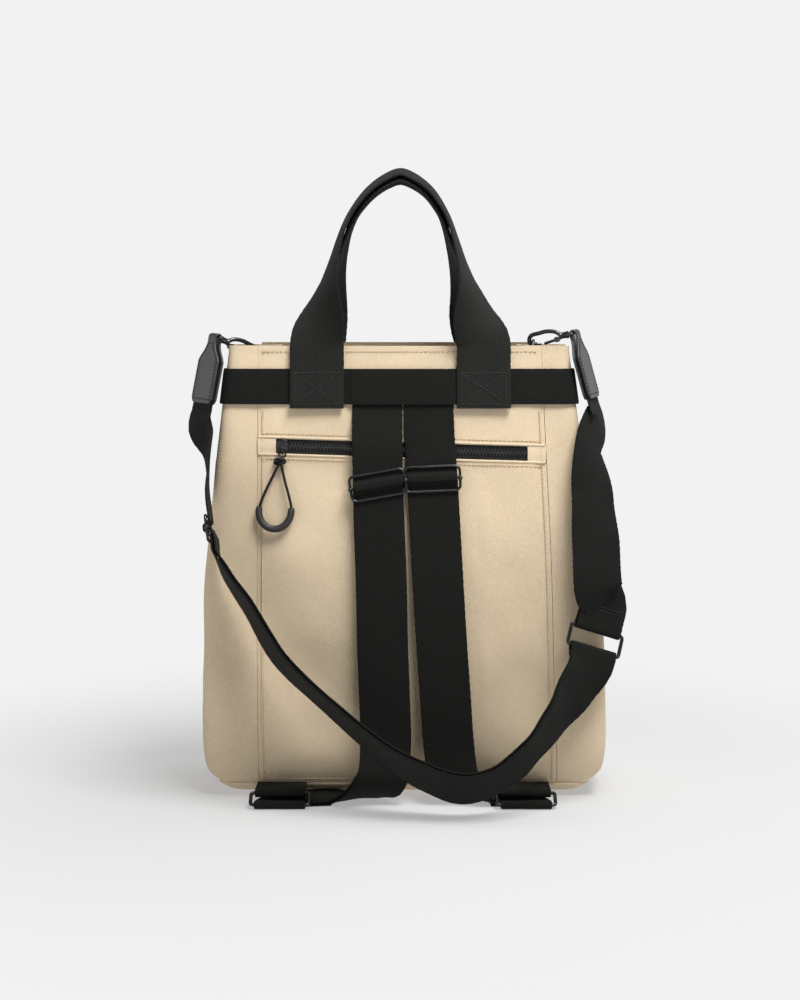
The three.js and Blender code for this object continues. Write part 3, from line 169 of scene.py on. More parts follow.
looks = {
    "canvas": material("canvas", (0.645, 0.52, 0.36), 0.95, canvasWeave, sheen=0.1),
    "canvasTrim": material("canvas trim", (0.655, 0.53, 0.37), 0.95, canvasWeave, sheen=0.1),
    "webbing": material("webbing", (0.0052, 0.0054, 0.0043), 0.9, herringbone, sheen=0.01),
    "handleWebbing": material("handle webbing", (0.0112, 0.0117, 0.01), 0.9, herringbone, sheen=0.02),
    "tape": material("zip tape", (0.016, 0.016, 0.015), 0.9, grain(500.0, 0.3)),
    "leather": material("leather", (0.033, 0.033, 0.031), 0.44, grain(420.0, 0.35)),
    "metal": material("metal", (0.05, 0.05, 0.054), 0.24, grain(60.0, 0.02), metallic=0.9),
    "teeth": material("teeth", (0.06, 0.06, 0.062), 0.35, grain(90.0, 0.05), metallic=0.8),
    "cord": material("cord", (0.012, 0.012, 0.012), 0.85, grain(900.0, 0.6)),
    "rubber": material("rubber", (0.02, 0.02, 0.02), 0.55, grain(700.0, 0.15)),
    "paleThread": material("pale thread", (0.56, 0.43, 0.28), 0.8, grain(900.0, 0.3)),
    "blackThread": material("black thread", (0.011, 0.011, 0.01), 0.7, grain(900.0, 0.3)),
}
print("materials made")


# Meshes
def makeObject(name, verts, faces, look, coords=None, crease=None, body="bag", instead=()):
    mesh = bpy.data.meshes.new(name)
    mesh.from_pydata((np.asarray(verts, float) * mm).tolist(), [], faces)
    mesh.materials.append(looks[look])
    if coords is not None:
        layer = mesh.attributes.new("clothCoord", "FLOAT_VECTOR", "POINT")
        layer.data.foreach_set("vector", np.asarray(coords, np.float32).ravel())
    mesh.update()
    work = bmesh.new()
    work.from_mesh(mesh)
    bmesh.ops.recalc_face_normals(work, faces=work.faces)
    work.to_mesh(mesh)
    work.free()
    mesh.shade_smooth()
    if crease:
        mesh.set_sharp_from_angle(angle=math.radians(crease))
    made = bpy.data.objects.new(name + "_shown" if instead else name, mesh)
    bpy.context.scene.collection.objects.link(made)
    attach(made, body)
    if instead:
        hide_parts(*instead)
    return made


def gridFaces(rows, columns, loopRows=False, loopColumns=False, start=0):
    return [(start + i * columns + j, start + i * columns + (j + 1) % columns,
             start + ((i + 1) % rows) * columns + (j + 1) % columns, start + ((i + 1) % rows) * columns + j)
            for i in range(rows if loopRows else rows - 1)
            for j in range(columns if loopColumns else columns - 1)]


def shell(name, outer, inner, look, instead, crease=50, loop=False):
    outer, inner = np.asarray(outer, float), np.asarray(inner, float)
    rows, columns = outer.shape[:2]
    total = rows * columns
    faces = gridFaces(rows, columns, False, loop) + gridFaces(rows, columns, False, loop, total)
    at = lambda side, i, j: side * total + i * columns + j % columns
    span = columns if loop else columns - 1
    for i in (0, rows - 1):
        faces += [(at(0, i, j), at(0, i, j + 1), at(1, i, j + 1), at(1, i, j)) for j in range(span)]
    if not loop:
        for j in (0, columns - 1):
            faces += [(at(0, i, j), at(0, i + 1, j), at(1, i + 1, j), at(1, i, j)) for i in range(rows - 1)]
    verts = np.concatenate([outer.reshape(-1, 3), inner.reshape(-1, 3)])
    coords = None
    if look == "webbing":  # the weave follows the strip round the body
        along = np.cumsum(np.r_[0, np.linalg.norm(np.diff(outer[0], axis=0), axis=1)])
        coords = np.stack([verts[:, 2], np.tile(np.tile(along, rows), 2), 0 * verts[:, 2]], 1)
    return makeObject(name, verts, faces, look, coords, crease, instead=instead)


def unit(v):
    return v / (np.linalg.norm(v) or 1)


def turned(v, axis, degrees):
    angle = math.radians(degrees)
    return v * math.cos(angle) + np.cross(axis, v) * math.sin(angle) + axis * axis.dot(v) * (1 - math.cos(angle))


def tube(points, radius, sides=14, loop=False):
    points = np.asarray(points, float)
    count = len(points)
    last = count if loop else count - 1
    tangents = [unit(points[(i + 1) % count if loop else min(i + 1, last)]
                     - points[i - 1 if loop else max(i - 1, 0)]) for i in range(count)]
    side = unit(np.cross(tangents[0], (0.3, 0.5, 0.81)))
    rows = []
    radii = np.broadcast_to(radius, (count,))
    for p, t, r in zip(points, tangents, radii):
        side = unit(side - t * side.dot(t))
        other = np.cross(t, side)
        turns = [2 * math.pi * k / sides for k in range(sides)]
        rows += [p + r * (math.cos(a) * side + math.sin(a) * other) for a in turns]
    faces = gridFaces(count, sides, False, True)
    if loop:  # joined where the last section meets the first, at the nearest turn
        first, end = np.array(rows[:sides]), np.array(rows[-sides:])
        shift = min(range(sides), key=lambda k: np.abs(np.roll(first, -k, 0) - end).sum())
        base = (count - 1) * sides
        faces += [(base + j, base + (j + 1) % sides, (j + 1 + shift) % sides, (j + shift) % sides)
                  for j in range(sides)]
    else:
        faces += [tuple(range(sides)), tuple((count - 1) * sides + k for k in range(sides))]
    return rows, faces


def combined(name, parts, look, body="bag", instead=(), crease=50, coords=None):
    verts, faces = [], []
    for rows, part in parts:
        faces += [tuple(len(verts) + k for k in face) for face in part]
        verts += list(rows)
    return makeObject(name, verts, faces, look, coords, crease, body, instead)


def curveOf(points):
    points = [np.asarray(p, float) for p in points]

    def at(t):
        p = (len(points) - 1) * t
        i = min(int(p), len(points) - 2)
        w = p - i
        x1, x2 = points[i], points[i + 1]
        x0 = points[i - 1] if i > 0 else 2 * x1 - x2
        x3 = points[i + 2] if i + 2 < len(points) else 2 * x2 - x1
        d0, d1, d2 = (max(((b - a) @ (b - a)) ** 0.25, 1e-4) for a, b in ((x0, x1), (x1, x2), (x2, x3)))
        t1 = ((x1 - x0) / d0 - (x2 - x0) / (d0 + d1) + (x2 - x1) / d1) * d1
        t2 = ((x2 - x1) / d1 - (x3 - x1) / (d1 + d2) + (x3 - x2) / d2) * d1
        return x1 + t1 * w + (3 * (x2 - x1) - 2 * t1 - t2) * w * w + (2 * (x1 - x2) + t1 + t2) * w ** 3

    return at


def evenly(at, divisions=400):
    marks = np.linspace(0, 1, divisions + 1)
    where = np.array([at(t) for t in marks])
    run = np.r_[0, np.cumsum(np.linalg.norm(np.diff(where, axis=0), axis=1))]
    return run, marks


def cornered(corners, rounding, count=6):
    corners = [np.asarray(c, float) for c in corners]
    points = []
    for i, corner in enumerate(corners):
        a = corner + unit(corners[i - 1] - corner) * rounding
        b = corner + unit(corners[(i + 1) % len(corners)] - corner) * rounding
        points += [(1 - t) ** 2 * a + 2 * t * (1 - t) * corner + t * t * b for t in np.linspace(0, 1, count)]
    return points


# The body, with the part's own sizes
bodySizes = {"halfWidth": 162, "halfDepth": 61, "rim": 362, "bottomSeam": 10, "canvas": 2, "gap": 0.3,
             "seamLeft": 0.716}
halfWidth, halfDepth, rim, seamZ, canvas, gap, seamLeft = bodySizes.values()
bodySections = [  # up, width, depth, fold, crown, lean, right seam
    (0.0, 0.913, 0.8, 0.0, 0.0, 0.004, 0.766), (0.03, 0.98, 0.9, -0.01, 0.01, 0.008, 0.764),
    (0.085, 1.0, 0.98, -0.015, 0.04, 0.01, 0.76), (0.17, 1.0, 1.0, -0.015, 0.06, 0.008, 0.75),
    (0.31, 0.99, 0.98, -0.005, 0.08, 0.004, 0.74), (0.45, 0.98, 0.92, 0.012, 0.09, 0.0, 0.733),
    (0.56, 0.955, 0.85, 0.04, 0.08, -0.005, 0.725), (0.66, 0.93, 0.76, 0.09, 0.06, -0.01, 0.715),
    (0.76, 0.905, 0.66, 0.145, 0.045, -0.014, 0.705), (0.87, 0.875, 0.53, 0.2, 0.03, -0.018, 0.695),
    (1.0, 0.84, 0.36, 0.24, 0.01, -0.02, 0.685),
]
backDents = [  # across, up, wide, tall, deep
    (-0.66, 0.41, 0.1, 0.1, 0.04), (0.62, 0.27, 0.14, 0.07, 0.05), (-0.4, 0.16, 0.16, 0.1, 0.035),
    (0.5, 0.62, 0.12, 0.12, 0.03), (-0.5, 0.66, 0.18, 0.06, -0.03)]


def columnValue(share, index):
    rows, last = bodySections, len(bodySections) - 1
    at = min(max(share, 0), 1)
    i = min(max(k for k in range(last + 1) if rows[k][0] <= at), last - 1)
    span = rows[i + 1][0] - rows[i][0]
    t = (at - rows[i][0]) / span
    slope = lambda k: ((rows[min(k + 1, last)][index] - rows[max(k - 1, 0)][index])
                       / (rows[min(k + 1, last)][0] - rows[max(k - 1, 0)][0]))
    return (rows[i][index] * (2 * t ** 3 - 3 * t ** 2 + 1) + rows[i + 1][index] * (3 * t ** 2 - 2 * t ** 3)
            + slope(i) * span * (t ** 3 - 2 * t ** 2 + t) + slope(i + 1) * span * (t ** 3 - t ** 2))


@lru_cache(maxsize=None)
def bodyAt(z):
    share = (z - seamZ) / (rim - seamZ)
    width, depth, fold, crown, lean, right = (columnValue(share, k) for k in range(1, 7))
    return {"width": width * halfWidth, "depth": depth * halfDepth, "fold": fold * halfWidth, "share": share,
            "crown": crown * halfDepth, "lean": lean * halfWidth,
            "left": -seamLeft * halfWidth, "right": right * halfWidth}


def panelFace(x, z, dents):
    body = bodyAt(z)
    middle = (body["left"] + body["right"]) / 2
    across = min(abs((x - middle) / (body["right"] - middle)), 1)
    face = body["depth"] + body["crown"] * (1 - across ** 2)
    edge = (1 - across ** 4) * min(1, (1 - body["share"]) * 6)
    for a, b, wide, tall, deep in dents:
        away = ((x / halfWidth - a) / wide) ** 2 + ((z / rim - b) / tall) ** 2
        face -= edge * deep * halfDepth * math.exp(-away)
    return face


backFace = lambda x, z: panelFace(x, z, backDents)
frontFace = lambda x, z: panelFace(x, z, ())


rumples = {"slow": 1.5, "quick": 0.5, "calmAbove": 270, "calm": 0.25, "strapZone": 62, "edgeDip": 0.8}


def rumple(x, y, z):  # how far the cloth stands out of its plain face
    slow = noise.noise(Vector((x / 62, y / 62 + 3, z / 48)))
    quick = noise.noise(Vector((x / 23 + 9, y / 23, z / 30)))
    calm = 1 if z < rumples["calmAbove"] else rumples["calm"]
    return (rumples["slow"] * slow + rumples["quick"] * quick) * calm


def gussetPlan(side, z, count=10):
    body = bodyAt(z)
    edge, fold = body["lean"] + side * body["width"], body["lean"] + side * (body["width"] - body["fold"])
    seam, d = (body["left"] if side < 0 else body["right"]), body["depth"]
    control = np.array([[seam, -d], [edge, -d], [edge, -d * 0.5], [fold, -d * 0.45], [fold, 0], [fold, d * 0.45],
                        [edge, d * 0.5], [edge, d], [seam, d]])
    points = [control[0]]
    for i in range(1, 8):
        a, b = (control[i - 1] + control[i]) / 2, (control[i] + control[i + 1]) / 2
        points += [(1 - t) ** 2 * a + 2 * t * (1 - t) * control[i] + t * t * b
                   for t in np.linspace(0, 1, count)[0 if i == 1 else 1:]]
    return np.array(points + [control[8]])


def offsetPlan(points, side, distance):
    along = np.gradient(points, axis=0)
    along /= np.linalg.norm(along, axis=1)[:, None]
    away = np.broadcast_to(distance, (len(points),))
    return points + (np.stack([along[:, 1], -along[:, 0]], 1) * side) * away[:, None]


hem = {"middle": 1.6, "half": 2.2, "swell": 0.9, "groove": 4.2, "grooveHalf": 1.4, "grooveDepth": 0.3,
       "stitch": 4.4}


def hemSwell(z):  # the rolled hem at the rim
    below = rim - z
    return (hem["swell"] * max(0, 1 - (abs(below - hem["middle"]) / hem["half"]) ** 4)
            - hem["grooveDepth"] * max(0, 1 - abs(below - hem["groove"]) / hem["grooveHalf"]))


panelWidth = 240


def panel(name, face, side, low, high, look, instead, step=3.2, sink=0.0, thick=canvas, ends=0.0, rumpled=True):
    rows = max(int((high(0) - low(0)) / step), 2)
    columns = max(int((panelWidth - 2 * ends) / step), 2)
    outer, inner = [], []
    for v in np.linspace(0, 1, rows + 1):
        outer.append([]), inner.append([])
        z0 = low(0) + (high(0) - low(0)) * v
        body = bodyAt(round(z0, 3))
        for u in np.linspace(0, 1, columns + 1):
            a, b = body["left"] + gap / 2 + ends, body["right"] - gap / 2 - ends
            x = a + (b - a) * u
            z = low(x) + (high(x) - low(x)) * v
            out = face(x, round(z, 2)) - sink
            if rumpled:
                edge = min(u, 1 - u) * columns / 4
                ease = min(edge, 1) * min(min(v, 1 - v) * rows / 2, 1)
                swell = rumple(x, side * 50, z) * ease
                free = side > 0 or abs(x) > rumples["strapZone"] or z > 300  # no strap lies on it
                out += (swell if free else min(swell, 0)) - rumples["edgeDip"] * (1 - min(edge, 1)) + hemSwell(z)
            outer[-1].append((x, side * out, z))
            inner[-1].append((x, side * (out - thick), z))
    return shell(name, outer, inner, look, instead)


zipSizes = {"drop": 82, "tilt": -0.03, "slot": 14, "halfTape": 6.7, "end": 14.8, "lip": 6.8, "lipRadius": 1.15,
            "teethPitch": 1.35, "stitch": 2.9}
zipSlot, halfTape = zipSizes["slot"], zipSizes["halfTape"]
zipLine = lambda x, offset: rim - zipSizes["drop"] + zipSizes["tilt"] * x + offset
bottom = lambda x: seamZ + gap
panel("back_lower", backFace, -1, bottom, lambda x: zipLine(x, -zipSlot / 2), "canvas", ("back_panel_lower",))
panel("back_upper", backFace, -1, lambda x: zipLine(x, zipSlot / 2), lambda x: rim, "canvas", ("back_panel_upper",))
panel("front", frontFace, 1, bottom, lambda x: rim + 1.6, "canvas", ("front_panel",), 4)


def gusset(side, name):
    outer, inner = [], []
    for z in np.linspace(seamZ + gap, rim, 100):
        z = round(float(z), 2)
        plan = gussetPlan(side, z, 9)
        plan[0, 0] += side * gap / 2
        plan[-1, 0] += side * gap / 2
        ease = np.minimum(np.minimum(np.arange(len(plan)), np.arange(len(plan))[::-1]) / 4, 1)
        out = np.array([rumple(x, y, z) for x, y in plan]) * ease * min((z - seamZ) / 12, 1)
        if z > 285:  # flat under the band
            out = np.minimum(out, 0)
        grown = offsetPlan(plan, side, out + hemSwell(z) - rumples["edgeDip"] * (1 - ease))
        inside = offsetPlan(plan, side, out - canvas)
        outer.append([(x, y, z) for x, y in grown])
        inner.append([(x, y, z) for x, y in inside])
    shell(name, outer, inner, "canvas", (name,))


gusset(-1, "gusset_left")
gusset(1, "gusset_right")


def bodyPlan(z, distance, step=4):
    body = bodyAt(z)
    xs = np.linspace(body["left"], body["right"], int(232 / step))[1:-1]
    back = [(x, -backFace(x, z) - distance) for x in xs]
    front = [(x, frontFace(x, z) + distance) for x in xs[::-1]]
    right = offsetPlan(gussetPlan(1, z, 8), 1, distance)
    left = offsetPlan(gussetPlan(-1, z, 8), -1, distance)[::-1]
    return np.array([*back, *right, *front, *left])


baseSection = [(0, 0.97), (0.05, 0.8), (0.14, 0.62), (0.28, 0.4), (0.45, 0.26), (0.7, 0.1), (1, 0), (1.6, 0)]
baseCurve = 25  # how far in the base reaches the floor


def basePanel():  # sections: inset, up
    seam = bodyPlan(float(seamZ), 0)
    body = bodyAt(float(seamZ))
    outer, inner = [], []
    for inset, up in baseSection:
        for rows, sink in ((outer, 0), (inner, canvas)):
            away = baseCurve * inset + sink * (1 - min(inset, 1))
            keep = (1 - away / body["width"], 1 - away / body["depth"])
            rows.append([(x * keep[0], y * keep[1], up * seamZ + sink * min(inset, 1)) for x, y in seam])
    shell("base", outer, inner, "canvas", ("base_panel",), loop=True)
    count = len(seam)
    sides = [(j, (j + 1) % count, count + (j + 1) % count, count + j) for j in range(count)]
    faces = [tuple(range(count)), tuple(range(count, 2 * count)), *sides]
    makeObject("base_middle", [*outer[-1], *inner[-1]], faces, "canvas")


basePanel()
print("body made")


# Stitches: small capsules along a line of points, each with the direction that it stands out
seamThread = {"pitch": 3.5, "length": 2.5, "radius": 0.44}
strapThread = {"pitch": 3.0, "length": 2.0, "radius": 0.34}


def stitches(name, lines, look, pitch, length, radius, sides=6):
    parts = []
    for line in lines:
        points = np.array([p for p, _ in line], float)
        outs = np.array([o for _, o in line], float)
        run = np.r_[0, np.cumsum(np.linalg.norm(np.diff(points, axis=0), axis=1))]
        at = lambda d, rows: np.array([np.interp(d, run, rows[:, k]) for k in range(3)])
        for start in np.arange(0.4, run[-1] - length, pitch):
            a, b = at(start, points), at(start + length, points)
            out = unit(at(start + length / 2, outs))
            m = (a + b) / 2 + out * radius * 0.45
            line = [a - out * 0.2, a * 0.8 + m * 0.2 + out * 0.1, m, b * 0.8 + m * 0.2 + out * 0.1, b - out * 0.2]
            parts.append(tube(line, [radius * 0.6, radius, radius, radius, radius * 0.6], sides))
    return combined(name, parts, look)


def panelLine(points, side=-1):
    face = backFace if side < 0 else frontFace
    return [((x, side * (face(x, round(z, 2)) + 0.1 + extra), z), (0, side, 0)) for x, z, extra in points]


across = lambda z: np.linspace(bodyAt(z)["left"] + 3, bodyAt(z)["right"] - 3, 80)
hemLine, bottomLine = rim - hem["stitch"], 15.5
stitchLine = zipSlot / 2 + zipSizes["stitch"]
seamColumn = lambda key, move, side: panelLine(
    [(bodyAt(round(z, 2))[key] + move, z, 0.05) for z in np.linspace(14, 312, 120)], side)
seams = [seamColumn(key, move, side) for key, move in (("left", 4.0), ("right", -4.0)) for side in (-1, 1)]
stitches("seam_stitches", [
    *seams,
    panelLine([(x, zipLine(x, stitchLine), 0.1) for x in across(280.0) if abs(x) > 55]),
    panelLine([(x, zipLine(x, -stitchLine), 0.1) for x in across(270.0) if not -50 < x < 56]),
    *[panelLine([(x, hemLine, 0.2) for x in across(hemLine)], side) for side in (-1, 1)],
    *[panelLine([(x, bottomLine, 0.0) for x in across(bottomLine)], side) for side in (-1, 1)],
], "paleThread", **seamThread)

# Piping along the bottom seam
seamLoop = [(x, y, seamZ + 0.6) for x, y in bodyPlan(float(seamZ), 0.5, 6)]
combined("bottom_piping", [tube(seamLoop, 1.3, 8, True)], "canvasTrim")


# Pocket zip
def zipPieces():
    low, high = (lambda x: zipLine(x, -halfTape)), (lambda x: zipLine(x, halfTape))
    panel("zip_tape_cloth", backFace, -1, low, high, "tape", ("zip_tape",), 4, 0.9, 1.1, 15, False)
    body, end = bodyAt(277.5), zipSizes["end"]
    onFace = lambda x, offset: backFace(x, round(zipLine(x, offset), 2))
    for name, a, b in (("zip_end_left", body["left"] + 0.2, body["left"] + end),
                       ("zip_end_right", body["right"] - end, body["right"] - 0.2)):
        crowned = lambda x, o, sink: (x, -(onFace(x, o) - sink + 0.5 * math.cos(o / halfTape * 1.5)), zipLine(x, o))
        grid = lambda sink: [[crowned(x, o, sink) for x in np.linspace(a, b, 8)]
                             for o in np.linspace(-halfTape, halfTape, 8)]
        shell(name, grid(0), grid(canvas), "canvasTrim", (name,))
    start, end = body["left"] + 1, body["right"] - 1
    lipLine = lambda offset: [(x, -onFace(x, offset) + 0.2, zipLine(x, offset))
                              for x in np.linspace(start, end, 70)]
    lips = [tube(lipLine(sign * zipSizes["lip"]), zipSizes["lipRadius"], 10) for sign in (1, -1)]
    combined("zip_lips", lips, "canvasTrim")
    verts, faces = [], []
    box = ((0, 1, 3, 2), (4, 6, 7, 5), (0, 4, 5, 1), (2, 3, 7, 6), (0, 2, 6, 4), (1, 5, 7, 3))
    for k, x in enumerate(np.arange(start + 25, end - 14, zipSizes["teethPitch"])):
        sign = 1 if k % 2 else -1
        low, high = (-0.5, 2.2) if sign > 0 else (-2.2, 0.5)
        y = -onFace(x, 0) + 0.5
        faces += [tuple(len(verts) + corner for corner in face) for face in box]
        verts += [(x + dx, y + dy, zipLine(x, dz))
                  for dx in (-0.48, 0.48) for dy in (-1.1, 0.7) for dz in (low, high)]
    makeObject("zip_teeth_rows", verts, faces, "teeth", crease=30, instead=("zip_teeth",))


zipPieces()
print("zip made")


# Strips of webbing and leather: a section with rounded edges swept along stations (point, across, facing)
def sweep(name, stations, width, thickness, look, instead, segments=18, selvedge=0.18):
    points = np.array([s[0] for s in stations])
    run = np.r_[0, np.cumsum(np.linalg.norm(np.diff(points, axis=0), axis=1))]
    half = thickness / 2
    profile = []  # across as a share of the half width, past the edge, out
    for side in (1, -1):
        profile += [(side * (1 - 2 * k / segments), 0.0, side * half) for k in range(segments + 1)]
        profile += [(-side, -side * half * math.sin(a), side * half * math.cos(a)) for a in (0.79, 1.57, 2.36)]
    verts, coords = [], []
    for k, ((p, across, facing, wide, cup), along) in enumerate(zip(stations, run)):
        w = (wide or width) / 2 - half * 0.9
        scallop = selvedge * math.sin(along * 1.6)
        for share, extra, out in profile:
            edge = abs(share) ** 8
            side = share * (w + scallop * edge) + extra
            wave = 0.25 * noise.noise(Vector((side / 16, along / 24, width))) if "ebbing" in look else 0
            verts.append(p + across * side + facing * (out + wave - cup * share * share))
            coords.append((share * w, along, 0))
    count = len(profile)
    faces = gridFaces(len(stations), count, False, True)
    faces += [tuple(range(count)), tuple((len(stations) - 1) * count + k for k in range(count))]
    return makeObject(name, verts, faces, look, coords, 60, instead=instead)


def smoothed(stations, reach=2):
    facings = np.array([s[2] for s in stations])
    made = []
    for i, (p, across, facing, wide, cup) in enumerate(stations):
        near = facings[max(i - reach, 0):i + reach + 1]
        mean = unit(near.mean(0))
        if np.linalg.norm(near.mean(0)) < 0.9:
            mean = facing
        made.append((p, unit(across - mean * across.dot(mean)), mean, wide, cup))
    return made


def facingFrom(turn, tip):
    t, d = math.radians(turn), math.radians(tip)
    return np.array([math.sin(t) * math.cos(d), -math.cos(t) * math.cos(d), -math.sin(d)])


class Route:
    def __init__(self, rows):
        self.rows = rows
        self.curve = curveOf([r[0] for r in rows])
        self.run, self.marks = evenly(self.curve)
        self.length = self.run[-1]

    def at(self, distance):
        t = float(np.interp(distance, self.run, self.marks))
        count = len(self.rows) - 1
        i = min(int(t * count), count - 1)
        part = t * count - i
        eased = part * part * (3 - 2 * part)
        toward = self.rows[i][1] * (1 - eased) + self.rows[i + 1][1] * eased
        a, b = max(t - 1e-4, 0), min(t + 1e-4, 1)
        tangent = unit(self.curve(b) - self.curve(a))
        facing = unit(toward - tangent * toward.dot(tangent))
        return self.curve(t), tangent, facing, np.cross(tangent, facing)

    def atHeight(self, z):
        distance = 0
        while self.at(distance)[0][2] > z and distance < self.length:
            distance += 0.5
        return distance


strapSizes = {"width": 40, "thickness": 1.6, "ringWire": 3, "sliderWire": 2.2, "sliderHeight": 22,
              "layerPitch": 2.6, "flatTop": 1.5, "straighten": 26, "closeUp": 16, "step": 2.4}
webbing, webThickness, wire, sliderWire, sliderHeight, layerPitch = list(strapSizes.values())[:6]
sliderPlane = (webThickness + sliderWire) / 2 + 1.4 * gap
sliderHalf = (sliderHeight - sliderWire) / 2
bulgeHalf = sliderHalf - 3
barRoom = (wire + webThickness) / 2 + gap


def doubledStrap(path, place, tilt):  # over the slider's bar, round the ring and back up behind itself
    flatTop = strapSizes["flatTop"]

    def over(d):
        t = min(max((abs(d - place) - flatTop) / (bulgeHalf - flatTop), 0), 1)
        return 2 * sliderPlane * (1 - t * t * (3 - 2 * t))

    def skewed(d):
        p, tangent, facing, across = path.at(d)
        past = max(abs(d - place) - sliderHalf - 2, 0) / strapSizes["straighten"]
        return p, turned(across, facing, tilt * max(1 - past, 0)), facing

    even = np.linspace(0, path.length, int(path.length / strapSizes["step"]))
    marks = np.unique(np.r_[even, place + np.linspace(-14, 14, 23)])
    stations = []
    for d in marks:
        p, across, facing = skewed(d)
        stations.append((p + facing * over(d), across, facing, None, 0))
    p, tangent, facing, across = path.at(path.length)
    centre = p - facing * barRoom
    for degrees in range(12, 180, 12):
        out = facing * math.cos(math.radians(degrees)) + tangent * math.sin(math.radians(degrees))
        stations.append((centre + out * barRoom, across, out, None, 0))
    for d in marks[::-1]:
        if d > place - 0.75:
            p, across, facing = skewed(d)
            toRing = min((path.length - d) / strapSizes["closeUp"], 1)
            spread = layerPitch + (2 * barRoom - layerPitch) * (1 - toRing) ** 2
            behind = spread * (1 - max(0, 1 - (d - place) / bulgeHalf))
            stations.append((p - facing * behind, across, -facing, None, 0))
    return stations, centre


def grounded(station):
    p, across, facing, wide, cup = station
    edge = (abs(across[2]) * webbing + abs(facing[2]) * webThickness) / 2
    return p + np.array([0, 0, max(gap - (p[2] - edge), 0)]), across, facing, wide, cup


def ladderSlider(name, station, tilt=0):
    p, tangent, facing, across = station
    along, over = turned(tangent, facing, tilt), turned(across, facing, tilt)
    middle = p + facing * sliderPlane
    half = webbing / 2 + 1 + sliderWire / 2
    at = lambda a, b: middle + over * (a * half) + along * (b * sliderHalf)
    parts = [tube(cornered([at(-1, -1), at(1, -1), at(1, 1), at(-1, 1)], 5, 8), sliderWire / 2, 14, True),
             tube([at(-1, 0), at(1, 0)], sliderWire / 2, 14)]
    for s in (-1, 1):  # a knob at each end of the middle bar
        parts.append(tube([at(s, 0) + over * d for d in (-1.9, -1.3, 0, 1.3, 1.9)], [0.6, 1.5, 1.9, 1.5, 0.6], 14))
    combined(name, parts, "metal", instead=(name,))


def rectangularRing(name, centre, across, along, inside):
    half = webbing / 2 + 1.6 + wire / 2
    at = lambda a, b: centre + across * (a * half) + along * (b * (inside + wire))
    loop = cornered([at(-1, 0), at(1, 0), at(1, 1), at(-1, 1)], 2.6, 8)
    combined(name, [tube(loop, wire / 2, 16, True)], "metal", instead=(name,))


shoulderSections = {  # across beside the strap's inner edge, away, up, tip
    "left": [(-0.0025, 0.02, 0.912, 0), (-0.0025, 0.022, 0.86, 0), (-0.0025, 0.09, 0.825, 0),
             (-0.002, 0.15, 0.785, 0),
             (0, 0.15, 0.735, 0), (0.0045, 0.15, 0.65, 0), (0.0185, 0.15, 0.48, 0), (0.0235, 0.16, 0.36, 0),
             (0.0335, 0.19, 0.24, 0), (0.0385, 0.27, 0.13, 2), (0.0185, 0.36, 0.06, 25), (-0.0665, 0.22, 0.022, 70),
             (-0.1365, 0.1, 0.0075, 84), (-0.2065, 0.02, 0, 90)],
    "right": [(0.0015, 0.02, 0.912, 0), (0.0025, 0.022, 0.86, 0), (0.0075, 0.05, 0.795, 0), (0.0145, 0.08, 0.75, 0),
              (0.0265, 0.11, 0.66, 0), (0.0485, 0.15, 0.48, 0), (0.0645, 0.16, 0.36, 0), (0.0835, 0.19, 0.24, 0),
              (0.1015, 0.26, 0.13, 2), (0.1265, 0.34, 0.06, 25), (0.1865, 0.2, 0.022, 70),
              (0.2315, 0.1, 0.0075, 84), (0.2865, 0.02, 0, 90)],
}
shoulderSliders = {"left": (0.7, 9), "right": (0.712, -1)}  # up, tilt
lowerRing = {"across": 0.6, "out": 1.47, "pivotOut": 1.03, "lean": 31, "inside": 10}
floorZ = webThickness / 2 + gap


def shoulderStrap(name):
    side = -1 if name == "left" else 1
    rows = []
    for a, away, up, tip in shoulderSections[name]:
        x, z = side * webbing / 2 + a * halfWidth, max(up * rim, floorZ)
        out = backFace(x, max(z, seamZ + bodySections[2][0] * (rim - seamZ))) + away * halfDepth
        rows.append((np.array([x, -out, z]), facingFrom(0, tip)))
    down = facingFrom(0, 90)
    ringPoint = np.array([side * lowerRing["across"] * halfWidth, -lowerRing["out"] * halfDepth, floorZ])
    radius = webbing / 2 + 3
    pivot = np.array([ringPoint[0] - side * radius, -lowerRing["pivotOut"] * halfDepth - radius, floorZ])
    rows += [(pivot + np.array([side * radius * math.sin(a), radius * math.cos(a), 0]), down)
             for a in np.radians([0, 22.5, 45, 67.5, 90])]
    path = Route(rows + [(ringPoint, down)])
    up, tilt = shoulderSliders[name]
    place = path.atHeight(up * rim)
    stations, centre = doubledStrap(path, place, tilt)
    sweep("shoulder_strap_" + name, smoothed([grounded(s) for s in stations]), webbing, webThickness, "webbing",
          ("shoulder_strap_" + name,))
    ladderSlider("strap_slider_" + name, path.at(place), tilt)
    angle, inside, over = math.radians(lowerRing["lean"]), lowerRing["inside"], np.array([1.0, 0, 0])
    lean = np.array([0, math.cos(angle), math.sin(angle)])
    rectangularRing("lower_ring_" + name, centre, over, lean, inside)
    upper = centre + lean * (inside + wire)
    tab = [(upper + out * barRoom, over, out, None, 0) for out in
           (np.array([0, -math.sin(a), math.cos(a)]) for a in np.radians(range(0, 181, 12)))]
    atSeam = -bodyAt(float(seamZ))["depth"] - webThickness
    end = lambda sign: (np.array([upper[0], atSeam, seamZ + sign * webThickness]), over,
                        np.array([0, 0, float(sign)]), None, 0)
    sweep("ring_tab_" + name, [end(1), *tab, end(-1)], webbing, webThickness, "webbing", ("ring_tab_" + name,))


shoulderStrap("left")
shoulderStrap("right")
print("shoulder straps made")

